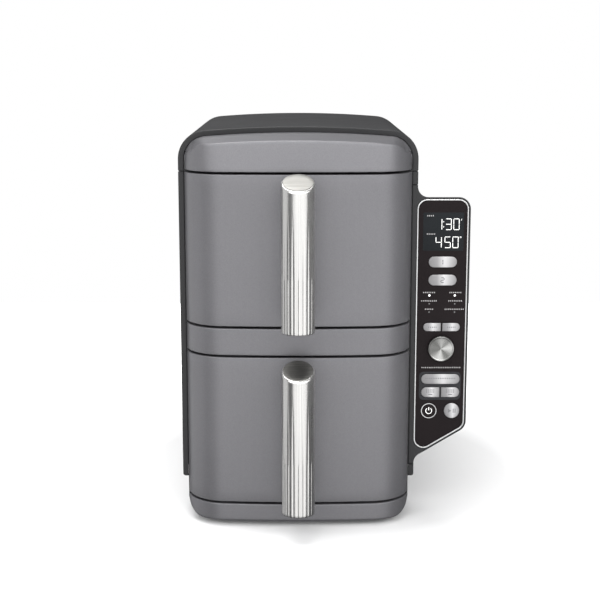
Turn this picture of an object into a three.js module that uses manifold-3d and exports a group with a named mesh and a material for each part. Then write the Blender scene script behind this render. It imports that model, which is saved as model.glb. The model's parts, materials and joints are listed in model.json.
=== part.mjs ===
// A two-drawer air fryer: two baskets stacked one above the other in one tall housing,
// with the control panel on a pod at the right side.
// Millimetres, +Z up, front towards -Y. The pieces are modelled about the middle of the
// drawer fronts (x = 0, y = 0 on the foremost line of the drawer fronts, z = 0 on the floor),
// and the whole group is then centred over its own footprint.
import * as THREE from "three";
import { mergeVertices } from "three/addons/utils/BufferGeometryUtils.js";
import Module from "manifold-3d";

const wasm = await Module();
wasm.setup();

// ---- Driving dimensions ---------------------------------------------------------------

const FIT = 0.3; // air left between two pieces that touch

// Housing
const HOUSING_WIDTH = 228;
const HOUSING_FRONT = 34; // the housing's front rim, behind the foremost line of the drawers
const HOUSING_DEPTH = 386;
const HOUSING_WALL = 2.4;
const HOUSING_CORNER = 27;
const CROWN_RADIUS = 1095; // the gentle rise of the top, side to side
const DECK_LENGTH = 256; // level part of the top, from the front rim
const REAR_FALL_RADIUS = 400;
const REAR_EDGE_RADIUS = 14;
const REAR_CORNER_RADIUS = 26;
const REAR_COVER_DEPTH = 24;
const RIM_WIDTH = 5.3; // dark rim that shows round the grey front
const SIDE_PANEL_BOTTOM = 41;
const COVER_SEAM_RISE = 0.4; // the top cover's seam, above the top of the upper drawer
const PANEL_SEAM = 0.6;

// Front, stacked from the floor
const FOOT_HEIGHT = 5.3;
const BASE_BAND_HEIGHT = 17.5;
const DRAWER_HEIGHT = 143.45;
const MIDDLE_BAND_HEIGHT = 25.7;
const TOP_BAND_HEIGHT = 34.8;
const FRONT_SEAM = 2.2;
const FRONT_WALL = 2.8;
const BOW_RADIUS = 840; // the front's gentle bow, seen from above
const FRONT_CORNER_RADIUS = 40;
const BASE_CORNER_RADIUS = 14;
const TOP_SLOPE_RISE = 5.7; // how far the top of the front climbs towards the housing
const FASCIA_LEAN = 4; // how far the top fascia leans back between its seam and its top edge
const DRAWER_BACK_GAP = 1.2;
const INNER_COVER_THICKNESS = 3.8;

// Cavities and baskets
const LINER_INSET = 3.7; // the liner is this much lower than the drawer front at each end
const LINER_WALL = 1;
const LINER_SIDE_GAP = 8.6; // warm-air gap between liner and side panel
const BEZEL_THICKNESS = 4;
const RUNNER_HEIGHT = 3;
const RUNNER_WIDTH = 9;
const BASKET_SIDE_GAP = 4;
const BASKET_TOP_GAP = 8.7;
const BASKET_REAR_GAP = 12;
const BASKET_WALL = 1.6;
const BASKET_CORNER = 14;
const MOUTH_GAP = 1.3; // air between a basket and the opening that it passes through
const CRISPER_HEIGHT = 14; // plate above the basket's floor
const CRISPER_THICKNESS = 1.5;
const CRISPER_EDGE_GAP = 1.4;

// Handles
const HANDLE_RADIUS = 15.5;
const HANDLE_STANDOFF = 35; // handle axis in front of the drawer front
const HANDLE_START = 2.1; // bottom of the bar above the bottom of the drawer front
const HANDLE_OVERSHOOT = 3.4; // back rim of the bar above the top of the drawer front
const HANDLE_SLANT = 14.5; // fall of the bar's top from back to front
const HANDLE_WALL = 2.4;
const FLUTE_COUNT = 20;
const FLUTE_DEPTH = 0.6;
const ARM_WIDTH = 13;
const ARM_HEIGHT = 13;
const UPPER_ARM_DROP = 27;
const LOWER_ARM_RISE = 12;
const CAP_THICKNESS = 2;
const CAP_SINK = 0.5;

// Hot-air units behind the cavities
const REAR_BAY_DEPTH = 88; // from the back of the liners to the back of the housing
const FAN_MOUTH_EDGE = 12.025; // flat sheet left above and below the fan mouth in the liner
const FAN_HOUSING_LIP = 5; // the fan housing is this much wider than the fan mouth, all round
const FAN_HOUSING_DEPTH = 32;
const FAN_HOUSING_WALL = 1;
const HEATER_MOUTH_GAP = 6; // middle of the heating rod, inside the edge of the fan mouth
const HEATER_ROD = 3.2;
const HEATER_LEG_SPACING = 18;
const HEATER_BACK = 12; // heater ring behind the liner
const SHAFT_RADIUS = 3;
const FAN_HEATER_GAP = 9; // tips of the fan, inside the middle of the heating rod
const FAN_BLADES = 8;
const FAN_BLADE_HEIGHT = 12;
const COOLING_FAN_RADIUS = 38;
const COOLING_BLADES = 7;
const MOTOR_RADIUS = 27;
const MOTOR_LENGTH = 22;

// Control pod
const POD_SEAM_DROP = 13.3; // top of the pod's casing, below the top cover's seam
const POD_STRIP_LENGTH = 276.1;
const POD_STRIP_DEPTH = 46;
const POD_TIP_DEPTH = 18;
const POD_BACK_SCALE = 0.94; // how much the pod tapers in height towards its back
const POD_BORDER = 2.6;
const POD_NECK_RADIUS = 10;
const PANEL_TOP_DROP = 14.1; // panel trim below the top of the pod's casing
const PANEL_WIDTH = 47.9;
const PANEL_SHORT_SIDE = 223.1;
const PANEL_LONG_SIDE = 252.1;
const PANEL_CORNER = 9;
const TRIM_WIDTH = 1.4;
const TRIM_PROUD = 0.4;
const TRIM_DEPTH = 3.4;
const GLASS_THICKNESS = 2;
const COLUMN_OFFSET = 24.6; // centre line of the controls, from the panel's left edge
const DISPLAY = { width: 38.9, height: 36.9, drop: 30.5 };
const DIAL = { radius: 12.55, across: -0.45, drop: 144.5, proud: 5, stem: 3 };
const BUTTON_PROUD = 0.9;
const BUTTON_LENGTH = 5.4;
const BUTTON_TRAVEL = 1;
const BUTTON_CLEARANCE = 0.35;
const BOARD_THICKNESS = 1.6;
const BOARD_DEPTH = 9.5; // control board behind the panel's face

// Buttons: middle of each one across from the controls' centre line, and below the panel's top.
// "whole" is a full pill, "left" and "right" are the halves of a split pill.
const BUTTONS = [
  { name: "drawer_one_button", across: 0, drop: 59.8, width: 27.3, height: 10.7, end: "whole" },
  { name: "drawer_two_button", across: 0, drop: 77.4, width: 27.3, height: 10.7, end: "whole" },
  { name: "temperature_button", across: -9.2, drop: 123.7, width: 17.2, height: 8.2, end: "left" },
  { name: "time_button", across: 9.2, drop: 123.7, width: 17.2, height: 8.2, end: "right" },
  { name: "two_level_button", across: 0, drop: 175.5, width: 37.7, height: 10, end: "whole" },
  { name: "finish_together_button", across: -9.7, drop: 188.8, width: 18, height: 10, end: "left" },
  { name: "match_drawers_button", across: 9.7, drop: 188.8, width: 18, height: 10, end: "right" },
  { name: "power_button", across: -10.9, drop: 207.4, width: 15.3, height: 15.3, end: "whole" },
  { name: "start_button", across: 11.5, drop: 207.4, width: 15.2, height: 15.2, end: "whole" },
];

// Feet and cord inlet
const FOOT_RADIUS = 11;
const FOOT_SIDE_INSET = 22;
const FOOT_FRONT_INSET = 22;
const FOOT_REAR_INSET = 33;
const BASE_SIDE_INSET = 7;
const GLAND_RADIUS = 7;
const GLAND_FLANGE = 10;
const CORD_BORE = 3.6;
const GLAND_RISE = 34; // cord inlet above the bottom of the side panels
const GLAND_ACROSS = -62;

// ---- Sizes that follow from them --------------------------------------------------------

const housingHalf = HOUSING_WIDTH / 2;
const housingBack = HOUSING_FRONT + HOUSING_DEPTH;
const frontHalf = housingHalf - RIM_WIDTH;

const baseBandTop = FOOT_HEIGHT + BASE_BAND_HEIGHT;
const lowerDrawerBottom = baseBandTop + FRONT_SEAM;
const lowerDrawerTop = lowerDrawerBottom + DRAWER_HEIGHT;
const middleBandBottom = lowerDrawerTop + FRONT_SEAM;
const middleBandTop = middleBandBottom + MIDDLE_BAND_HEIGHT;
const upperDrawerBottom = middleBandTop + FRONT_SEAM;
const upperDrawerTop = upperDrawerBottom + DRAWER_HEIGHT;
const topBandBottom = upperDrawerTop + FRONT_SEAM;
const housingTop = topBandBottom + TOP_BAND_HEIGHT + RIM_WIDTH;
const coverSeam = upperDrawerTop + COVER_SEAM_RISE;

const bezelFront = HOUSING_FRONT + FIT;
const bezelBack = bezelFront + BEZEL_THICKNESS;
const linerFront = bezelBack + FIT;
const linerBack = housingBack - REAR_BAY_DEPTH;
const linerHalf = housingHalf - HOUSING_WALL - LINER_SIDE_GAP;
const linerHeight = DRAWER_HEIGHT - 2 * LINER_INSET;
const linerFloor = LINER_INSET + LINER_WALL;

const fanMouthRadius = linerHeight / 2 - FAN_MOUTH_EDGE;
const fanHousingRadius = fanMouthRadius + FAN_HOUSING_LIP;
const heaterRadius = fanMouthRadius - HEATER_MOUTH_GAP;
const fanRadius = heaterRadius - FAN_HEATER_GAP;

const basketHalf = linerHalf - LINER_WALL - BASKET_SIDE_GAP;
const basketBottom = linerFloor + RUNNER_HEIGHT + FIT;
const basketTop = LINER_INSET + linerHeight - LINER_WALL - BASKET_TOP_GAP;
const innerCoverBack = HOUSING_FRONT - DRAWER_BACK_GAP - 2 * FIT;
const basketFront = innerCoverBack + FIT;
const basketBack = linerBack - LINER_WALL - BASKET_REAR_GAP;

const podTop = coverSeam - POD_SEAM_DROP;
const podBottom = podTop - POD_STRIP_LENGTH;
const panelLeft = housingHalf + 0.2;
const panelRight = panelLeft + PANEL_WIDTH;
const panelTop = podTop - PANEL_TOP_DROP;
const podRight = panelRight + POD_BORDER;
const glassFront = HOUSING_FRONT;
const boardFront = HOUSING_FRONT + BOARD_DEPTH;
const buttonFront = glassFront - BUTTON_PROUD;
const buttonBack = buttonFront + BUTTON_LENGTH;
const switchFront = buttonBack + BUTTON_TRAVEL + FIT;
const columnX = panelLeft + COLUMN_OFFSET;
const dialX = columnX + DIAL.across;

// ---- Turning three.js geometry into solids and back ---------------------------------------

function solid(geometry) {
  const bare = geometry.clone();
  bare.deleteAttribute("normal");
  bare.deleteAttribute("uv");
  const merged = mergeVertices(bare, 1e-4);
  const mesh = new wasm.Mesh({
    numProp: 3,
    vertProperties: merged.attributes.position.array,
    triVerts: new Uint32Array(merged.index.array),
  });
  return new wasm.Manifold(mesh);
}

function geometryOf(shape) {
  const mesh = shape.getMesh();
  const geometry = new THREE.BufferGeometry();
  geometry.setAttribute("position", new THREE.BufferAttribute(new Float32Array(mesh.vertProperties), 3));
  geometry.setIndex(new THREE.BufferAttribute(new Uint32Array(mesh.triVerts), 1));
  geometry.computeVertexNormals();
  return geometry;
}

function piece(name, shape, look) {
  const mesh = new THREE.Mesh(geometryOf(shape), new THREE.MeshStandardMaterial(look));
  mesh.name = name;
  return mesh;
}

function groupAt(x, y, z, children) {
  const group = new THREE.Group();
  group.position.set(x, y, z);
  group.add(...children);
  return group;
}

// ---- Basic shapes -------------------------------------------------------------------------

const X = new THREE.Vector3(1, 0, 0);
const Y = new THREE.Vector3(0, 1, 0);
const Z = new THREE.Vector3(0, 0, 1);

// The outline lies in the plane square to the axis: (y, z) for x, (x, z) for y, (x, y) for z.
function prismGeometry(outline, axis, from, to, holes = []) {
  const shape = new THREE.Shape(outline);
  shape.holes = holes.map((hole) => new THREE.Path(hole));
  const geometry = new THREE.ExtrudeGeometry(shape, { depth: to - from, bevelEnabled: false });
  const turn = new THREE.Matrix4();
  if (axis === "x") turn.makeBasis(Y, Z, X).setPosition(from, 0, 0);
  if (axis === "y") turn.makeBasis(X, Z, Y.clone().negate()).setPosition(0, to, 0);
  if (axis === "z") turn.setPosition(0, 0, from);
  return geometry.applyMatrix4(turn);
}

function prism(outline, axis, from, to, holes = []) {
  return solid(prismGeometry(outline, axis, from, to, holes));
}

function box(x0, x1, y0, y1, z0, z1) {
  const geometry = new THREE.BoxGeometry(x1 - x0, y1 - y0, z1 - z0);
  geometry.translate((x0 + x1) / 2, (y0 + y1) / 2, (z0 + z1) / 2);
  return solid(geometry);
}

function arc(cx, cy, radius, start, end, steps) {
  const points = [];
  for (let i = 0; i <= steps; i += 1) {
    const angle = start + ((end - start) * i) / steps;
    points.push(new THREE.Vector2(cx + radius * Math.cos(angle), cy + radius * Math.sin(angle)));
  }
  return points;
}

function joined(first, others) {
  return others.reduce((sum, other) => sum.add(other), first);
}

function cut(shape, cutters) {
  return cutters.reduce((left, cutter) => left.subtract(cutter), shape);
}

function circle(cx, cy, radius, steps = 24) {
  return arc(cx, cy, radius, 0, 2 * Math.PI, steps).slice(0, steps);
}

function drum(radius, y0, y1, steps = 24, x = 0, z = 0) {
  return prism(circle(x, z, radius, steps), "y", y0, y1);
}

// A closed outline from corners [u, v, radius], each corner rounded by its radius.
function rounded(corners, steps = 5) {
  return corners.flatMap(([u, v, radius], index) => {
    const here = new THREE.Vector2(u, v);
    if (!radius) return [here];
    const [beforeU, beforeV] = corners.at(index - 1);
    const [afterU, afterV] = corners[(index + 1) % corners.length];
    const toBefore = new THREE.Vector2(beforeU - u, beforeV - v).normalize();
    const toAfter = new THREE.Vector2(afterU - u, afterV - v).normalize();
    const half = Math.acos(toBefore.dot(toAfter)) / 2;
    const middle = toBefore.clone().add(toAfter).normalize().multiplyScalar(radius / Math.sin(half));
    const centre = here.clone().add(middle);
    const first = here.clone().addScaledVector(toBefore, radius / Math.tan(half)).sub(centre);
    const last = here.clone().addScaledVector(toAfter, radius / Math.tan(half)).sub(centre);
    const start = first.angle();
    const sweep = Math.atan2(first.cross(last), first.dot(last));
    return arc(centre.x, centre.y, radius, start, start + sweep, steps);
  });
}

function rectangle(x0, x1, z0, z1, radius = 0, steps = 5) {
  const corners = [
    [x0, z0, radius],
    [x1, z0, radius],
    [x1, z1, radius],
    [x0, z1, radius],
  ];
  return rounded(corners, steps);
}

// Moves every side of a convex, counter-clockwise outline of corners outwards by a distance.
function grown(corners, distance) {
  const lines = corners.map(([u, v], index) => {
    const [nextU, nextV] = corners[(index + 1) % corners.length];
    const along = new THREE.Vector2(nextU - u, nextV - v).normalize();
    const out = new THREE.Vector2(along.y, -along.x);
    return { along, point: new THREE.Vector2(u, v).addScaledVector(out, distance) };
  });
  return corners.map(([, , radius], index) => {
    const before = lines.at(index - 1);
    const after = lines[index];
    const gap = after.point.clone().sub(before.point);
    const reach = gap.cross(after.along) / before.along.cross(after.along);
    const corner = before.point.clone().addScaledVector(before.along, reach);
    return [corner.x, corner.y, Math.max(radius + distance, 0.5)];
  });
}

// ---- Outlines that several pieces share -----------------------------------------------------

// Seen from the front: straight sides, round top corners and a crowned top.
function bodyOutline(inset, bottom, bottomRadius) {
  const half = housingHalf - inset;
  const crown = CROWN_RADIUS - inset;
  const corner = HOUSING_CORNER - inset;
  const crownZ = housingTop - CROWN_RADIUS;
  const cornerX = housingHalf - HOUSING_CORNER;
  const lean = Math.asin(cornerX / (CROWN_RADIUS - HOUSING_CORNER));
  const cornerZ = crownZ + (CROWN_RADIUS - HOUSING_CORNER) * Math.cos(lean);
  const foot = [
    [-half, cornerZ, 0],
    [-half, bottom, bottomRadius],
    [half, bottom, bottomRadius],
    [half, cornerZ, 0],
  ];
  return [
    ...arc(cornerX, cornerZ, corner, 0, Math.PI / 2 - lean, 8),
    ...arc(0, crownZ, crown, Math.PI / 2 - lean, Math.PI / 2 + lean, 10).slice(1, -1),
    ...arc(-cornerX, cornerZ, corner, Math.PI / 2 + lean, Math.PI, 8),
    ...rounded(foot).slice(1, -1),
  ];
}

// Seen from the side: the level deck, the long fall towards the back and the rear edge.
function housingSide(inset) {
  const back = housingBack - inset;
  const above = housingTop + 0.5 - inset;
  const fallStart = HOUSING_FRONT + DECK_LENGTH;
  const fall = REAR_FALL_RADIUS;
  const fallEnd = Math.asin((housingBack - REAR_EDGE_RADIUS - fallStart) / (fall - REAR_EDGE_RADIUS));
  const edgeZ = above + inset - fall + (fall - REAR_EDGE_RADIUS) * Math.cos(fallEnd);
  const edgeY = housingBack - REAR_EDGE_RADIUS;
  return [
    new THREE.Vector2(-100, -100),
    new THREE.Vector2(back, -100),
    ...arc(edgeY, edgeZ, REAR_EDGE_RADIUS - inset, 0, Math.PI / 2 - fallEnd, 5),
    ...arc(fallStart, above + inset - fall, fall - inset, Math.PI / 2 - fallEnd, Math.PI / 2, 6).slice(1),
    new THREE.Vector2(-100, above),
  ];
}

// Seen from above: the housing with its round rear corners.
function housingPlan(inset) {
  const half = housingHalf - inset;
  const back = housingBack - inset;
  const corners = [
    [-half, -100, 0],
    [half, -100, 0],
    [half, back, REAR_CORNER_RADIUS - inset],
    [-half, back, REAR_CORNER_RADIUS - inset],
  ];
  return rounded(corners);
}

// The housing's outer volume, or the volume inside its walls.
function housingVolume(inset, front, bottom) {
  const along = prism(bodyOutline(inset, bottom, 0), "y", front, housingBack - inset);
  const beside = prism(housingSide(inset), "x", -housingHalf, housingHalf);
  const above = prism(housingPlan(inset), "z", 0, housingTop + 1);
  return along.intersect(beside).intersect(above);
}

// One skin with a rim folded in along its front edge; open below and behind the rim.
function housingShell() {
  const outside = housingVolume(0, HOUSING_FRONT, SIDE_PANEL_BOTTOM);
  const inside = housingVolume(HOUSING_WALL, HOUSING_FRONT + HOUSING_WALL, 0);
  const mouth = prism(bodyOutline(RIM_WIDTH, 0, 0), "y", 0, HOUSING_FRONT + 2 * HOUSING_WALL);
  return outside.subtract(inside).subtract(mouth);
}

// Seen from above: the bowed front with its round corners, thinner by the inset.
function frontPlan(inset, back) {
  const cornerX = frontHalf - FRONT_CORNER_RADIUS;
  const lean = Math.asin(cornerX / (BOW_RADIUS - FRONT_CORNER_RADIUS));
  const cornerY = BOW_RADIUS - (BOW_RADIUS - FRONT_CORNER_RADIUS) * Math.cos(lean);
  const bow = -Math.PI / 2;
  const radius = FRONT_CORNER_RADIUS - inset;
  const last = Math.asin(Math.min((back - cornerY) / radius, 0));
  const rightSide = arc(cornerX, cornerY, radius, bow + lean, last, 8);
  if (back > cornerY) rightSide.push(new THREE.Vector2(frontHalf - inset, back));
  const leftSide = [...rightSide].reverse().map((point) => new THREE.Vector2(-point.x, point.y));
  const middle = arc(0, BOW_RADIUS, BOW_RADIUS - inset, bow - lean, bow + lean, 10).slice(1, -1);
  return [...leftSide, ...middle, ...rightSide];
}

// Seen from the side: the top of the front climbs towards the housing.
function frontSide(inset) {
  const high = housingTop - RIM_WIDTH - inset;
  return [
    new THREE.Vector2(-100, 0),
    new THREE.Vector2(100, 0),
    new THREE.Vector2(100, high),
    new THREE.Vector2(HOUSING_FRONT, high),
    new THREE.Vector2(0, high - TOP_SLOPE_RISE),
    new THREE.Vector2(-100, high - TOP_SLOPE_RISE),
  ];
}

// The lean is how far the bowed face moves back for each millimetre above the top band's seam.
function frontVolume(inset, back, lean) {
  const along = prism(bodyOutline(RIM_WIDTH + inset, FOOT_HEIGHT + inset, BASE_CORNER_RADIUS), "y", -5, back);
  const upright = prismGeometry(frontPlan(inset, back), "z", 0, housingTop);
  const shear = new THREE.Matrix4().makeShear(0, 0, 0, 0, 0, lean).setPosition(0, -lean * topBandBottom, 0);
  const beside = prism(frontSide(inset), "x", -housingHalf, housingHalf);
  return along.intersect(solid(upright.applyMatrix4(shear))).intersect(beside);
}

// A hollow band of the front between two heights, open at its back.
function frontBand(bottom, top, back, lean = 0) {
  const wide = housingHalf;
  const band = frontVolume(0, back, lean).intersect(box(-wide, wide, -9, back, bottom, top));
  const hollowTop = Math.min(top, housingTop) - FRONT_WALL;
  const slab = box(-wide, wide, -9, back + 9, bottom + FRONT_WALL, hollowTop);
  return band.subtract(frontVolume(FRONT_WALL, back + 1, lean).intersect(slab));
}

// ---- Looks ------------------------------------------------------------------------------------

const greyPaint = { color: 0x7c7c80, roughness: 0.42, metalness: 0.3 };
const darkPlastic = { color: 0x3d3d40, roughness: 0.55, metalness: 0 };
const blackPlastic = { color: 0x1b1b1d, roughness: 0.6, metalness: 0 };
const glossBlack = { color: 0x1e1c1d, roughness: 0.12, metalness: 0 };
const brushedChrome = { color: 0xc9c7c3, roughness: 0.24, metalness: 1 };
const brushedCap = { color: 0x807f7b, roughness: 0.35, metalness: 0.9 };
const bareSteel = { color: 0x9a9a98, roughness: 0.4, metalness: 1 };
const darkCoating = { color: 0x2b2b2d, roughness: 0.5, metalness: 0.2 };
const blackRubber = { color: 0x161616, roughness: 0.85, metalness: 0 };
const boardGreen = { color: 0x1d4d33, roughness: 0.6, metalness: 0 };

// ---- Housing ------------------------------------------------------------------------------------

function podStripRegion(grow) {
  const x0 = housingHalf - RIM_WIDTH - 1;
  const back = HOUSING_FRONT + POD_STRIP_DEPTH;
  return box(x0, housingHalf + 1, HOUSING_FRONT - 1, back + grow, podBottom - grow, podTop + grow);
}

function housingPieces() {
  const shell = housingShell();
  const rearStart = housingBack - REAR_COVER_DEPTH;
  const wide = housingHalf + 1;
  const seam = PANEL_SEAM / 2;
  const front = HOUSING_FRONT - 1;
  const low = SIDE_PANEL_BOTTOM - 1;
  const lid = box(-wide, wide, front, rearStart - seam, coverSeam + seam, housingTop + 1);
  const left = box(-wide, 0, front, rearStart - seam, low, coverSeam - seam);
  const right = box(0, wide, front, rearStart - seam, low, coverSeam - seam);
  return [
    piece("top_cover", shell.intersect(lid), darkPlastic),
    piece("left_side_panel", shell.intersect(left), darkPlastic),
    piece("right_side_panel", shell.intersect(right).subtract(podStripRegion(PANEL_SEAM)), darkPlastic),
    piece("rear_cover", rearCover(shell, rearStart + seam), darkPlastic),
  ];
}

function rearCover(shell, start) {
  const wide = housingHalf + 1;
  const behind = box(-wide, wide, start, housingBack + 1, SIDE_PANEL_BOTTOM - 1, housingTop + 1);
  const dish = shell.intersect(behind);
  const y0 = housingBack - 2 * HOUSING_WALL;
  const y1 = housingBack + 1;
  const vents = [lowerDrawerBottom, upperDrawerBottom].flatMap((bottom) => ventSlots(bottom, y0, y1));
  const z = SIDE_PANEL_BOTTOM + GLAND_RISE;
  const cordHole = drum(GLAND_RADIUS + FIT, y0, y1, 20, GLAND_ACROSS, z);
  return cut(dish, [...vents, cordHole]);
}

// A row of upright slots behind one fan motor.
function ventSlots(drawerBottom, y0, y1) {
  const count = 9;
  const pitch = 8;
  const halfHeight = 26;
  const middle = drawerBottom + DRAWER_HEIGHT / 2;
  return Array.from({ length: count }, (_, i) => {
    const x = (i - (count - 1) / 2) * pitch;
    return box(x - 1.7, x + 1.7, y0, y1, middle - halfHeight, middle + halfHeight);
  });
}

function basePan() {
  const half = housingHalf - BASE_SIDE_INSET;
  const back = housingBack - 4;
  const top = SIDE_PANEL_BOTTOM - 2 * FIT;
  const wall = HOUSING_WALL;
  const outline = (inset) =>
    rounded([
      [-half + inset, linerFront + inset, 0],
      [half - inset, linerFront + inset, 0],
      [half - inset, back - inset, REAR_CORNER_RADIUS - 4 - inset],
      [-half + inset, back - inset, REAR_CORNER_RADIUS - 4 - inset],
    ]);
  const rounding = (inset) => {
    const low = FOOT_HEIGHT + inset;
    const section = rounded([
      [-half + inset, low, BASE_CORNER_RADIUS - inset],
      [half - inset, low, BASE_CORNER_RADIUS - inset],
      [half - inset, top + 2, 0],
      [-half + inset, top + 2, 0],
    ]);
    return prism(section, "y", HOUSING_FRONT, housingBack);
  };
  const tray = prism(outline(0), "z", FOOT_HEIGHT, top).intersect(rounding(0));
  const hollow = prism(outline(wall), "z", FOOT_HEIGHT + wall, top + 1).intersect(rounding(wall));
  const linerLow = lowerDrawerBottom + LINER_INSET - FIT;
  const notch = box(-half + wall, half - wall, linerFront - 1, linerFront + wall + 1, linerLow, top + 1);
  return piece("base_pan", cut(tray, [hollow, notch]), blackPlastic);
}

function feet() {
  const x = housingHalf - BASE_SIDE_INSET - FOOT_SIDE_INSET;
  const front = HOUSING_FRONT + FOOT_FRONT_INSET;
  const back = housingBack - FOOT_REAR_INSET;
  const profile = [
    new THREE.Vector2(0, 0),
    new THREE.Vector2(FOOT_RADIUS - 0.8, 0),
    new THREE.Vector2(FOOT_RADIUS, 0.8),
    new THREE.Vector2(FOOT_RADIUS - 1, FOOT_HEIGHT - FIT),
    new THREE.Vector2(0, FOOT_HEIGHT - FIT),
  ];
  const shape = solid(new THREE.LatheGeometry(profile, 16).rotateX(Math.PI / 2));
  const places = [
    ["front_left_foot", -x, front],
    ["front_right_foot", x, front],
    ["rear_left_foot", -x, back],
    ["rear_right_foot", x, back],
  ];
  return places.map(([name, px, py]) => {
    const foot = piece(name, shape, blackRubber);
    foot.position.set(px, py, 0);
    return foot;
  });
}

function cordGland() {
  const z = SIDE_PANEL_BOTTOM + GLAND_RISE;
  const inner = housingBack - HOUSING_WALL - FIT;
  const sleeve = drum(GLAND_RADIUS, inner - 8, housingBack, 20, GLAND_ACROSS, z);
  const flange = drum(GLAND_FLANGE, inner - 3, inner, 20, GLAND_ACROSS, z);
  const bore = drum(CORD_BORE, inner - 9, housingBack + 1, 16, GLAND_ACROSS, z);
  return piece("cord_gland", sleeve.add(flange).subtract(bore), blackRubber);
}

// ---- Fixed parts of the front -----------------------------------------------------------------

function frontPieces() {
  const back = HOUSING_FRONT - FIT;
  const lean = FASCIA_LEAN / (TOP_BAND_HEIGHT - TOP_SLOPE_RISE);
  return [
    piece("top_fascia", frontBand(topBandBottom, housingTop, back, lean), greyPaint),
    piece("middle_band", frontBand(middleBandBottom, middleBandTop, back), greyPaint),
    piece("base_band", frontBand(FOOT_HEIGHT, baseBandTop, back), greyPaint),
    frontBezel(),
  ];
}

// The dark plate behind the drawers, with one mouth for each basket.
function frontBezel() {
  const outline = bodyOutline(RIM_WIDTH + FIT, FOOT_HEIGHT + 1, BASE_CORNER_RADIUS);
  const mouths = [lowerDrawerBottom, upperDrawerBottom].map((bottom) => {
    const half = basketHalf + MOUTH_GAP;
    const low = bottom + basketBottom - MOUTH_GAP;
    const high = bottom + basketTop + MOUTH_GAP;
    return rounded([
      [-half, low, BASKET_CORNER + MOUTH_GAP],
      [half, low, BASKET_CORNER + MOUTH_GAP],
      [half, high, 3],
      [-half, high, 3],
    ]);
  });
  return piece("front_bezel", prism(outline, "y", bezelFront, bezelBack, mouths), blackPlastic);
}

// ---- Drawers ------------------------------------------------------------------------------------

// Everything that slides out together, measured up from the bottom of the drawer front.
function drawer(level, bottom) {
  const back = HOUSING_FRONT - DRAWER_BACK_GAP;
  const face = frontBand(bottom, bottom + DRAWER_HEIGHT, back).translate([0, 0, -bottom]);
  return groupAt(0, 0, bottom, [
    piece(`${level}_drawer_front`, face, greyPaint),
    drawerInnerCover(level),
    basket(level),
    ...handle(level),
    crisperPlate(level),
  ]);
}

function drawerInnerCover(level) {
  const start = innerCoverBack - INNER_COVER_THICKNESS;
  const inset = FRONT_WALL + FIT;
  const low = inset;
  const high = DRAWER_HEIGHT - inset;
  const plan = prism(frontPlan(inset, innerCoverBack), "z", low, high);
  const slab = box(-housingHalf, housingHalf, start, innerCoverBack, low, high);
  return piece(`${level}_drawer_inner_cover`, plan.intersect(slab), blackPlastic);
}

function basketOutline(inset, top) {
  const half = basketHalf - inset;
  const low = basketBottom + inset;
  const corner = BASKET_CORNER - inset;
  return rounded([
    [-half, low, corner],
    [half, low, corner],
    [half, top, 0],
    [-half, top, 0],
  ]);
}

function basket(level) {
  const outside = prism(basketOutline(0, basketTop), "y", basketFront, basketBack);
  const front = basketFront + BASKET_WALL;
  const back = basketBack - BASKET_WALL;
  const inside = prism(basketOutline(BASKET_WALL, basketTop + 1), "y", front, back);
  return piece(`${level}_basket`, cut(outside, [inside, ...basketRearSlots()]), darkCoating);
}

// Upright slots in the basket's back wall, where the hot air comes in.
function basketRearSlots() {
  const count = 9;
  const pitch = 16;
  return Array.from({ length: count }, (_, i) => {
    const x = (i - (count - 1) / 2) * pitch;
    return box(x - 3, x + 3, basketBack - 4, basketBack + 1, basketBottom + 34, basketTop - 12);
  });
}

// A slotted plate on four short legs that stands on the basket's floor and lifts out.
function crisperPlate(level) {
  const half = basketHalf - BASKET_WALL - CRISPER_EDGE_GAP;
  const front = basketFront + BASKET_WALL + CRISPER_EDGE_GAP;
  const back = basketBack - BASKET_WALL - CRISPER_EDGE_GAP;
  const low = basketBottom + BASKET_WALL + CRISPER_HEIGHT;
  const floor = basketBottom + BASKET_WALL + FIT;
  const slots = crisperSlots(half, front, back).map((slot) => prism(slot, "z", low - 1, low + 3));
  const plate = cut(prism(rectangle(-half, half, front, back, 10), "z", low, low + CRISPER_THICKNESS), slots);
  const legX = half - 16;
  const legs = [-1, 1].flatMap((side) =>
    [front + 18, back - 18].map((y) => box(side * legX - 5, side * legX + 5, y - 5, y + 5, floor, low + 0.2)),
  );
  return piece(`${level}_crisper_plate`, joined(plate, legs), darkCoating);
}

function crisperSlots(half, front, back) {
  const columns = 4;
  const rows = 6;
  const columnPitch = (2 * half - 36) / columns;
  const rowPitch = (back - front - 70) / rows;
  const slots = [];
  for (let column = 0; column < columns; column += 1) {
    for (let row = 0; row < rows; row += 1) {
      const x = -half + 18 + columnPitch * (column + 0.5);
      const y = front + 35 + rowPitch * (row + 0.5);
      slots.push(rectangle(x - columnPitch * 0.33, x + columnPitch * 0.33, y - 2.5, y + 2.5));
    }
  }
  return slots;
}

// ---- Handles --------------------------------------------------------------------------------------

// A circle whose edge is scooped into flutes.
function fluted(cx, cy, radius) {
  const perFlute = 3;
  const count = FLUTE_COUNT * perFlute;
  return Array.from({ length: count }, (_, i) => {
    const scoop = FLUTE_DEPTH * Math.sin((Math.PI * (i % perFlute)) / perFlute);
    const angle = (2 * Math.PI * i) / count;
    return new THREE.Vector2(
      cx + (radius - scoop) * Math.cos(angle),
      cy + (radius - scoop) * Math.sin(angle),
    );
  });
}

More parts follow.
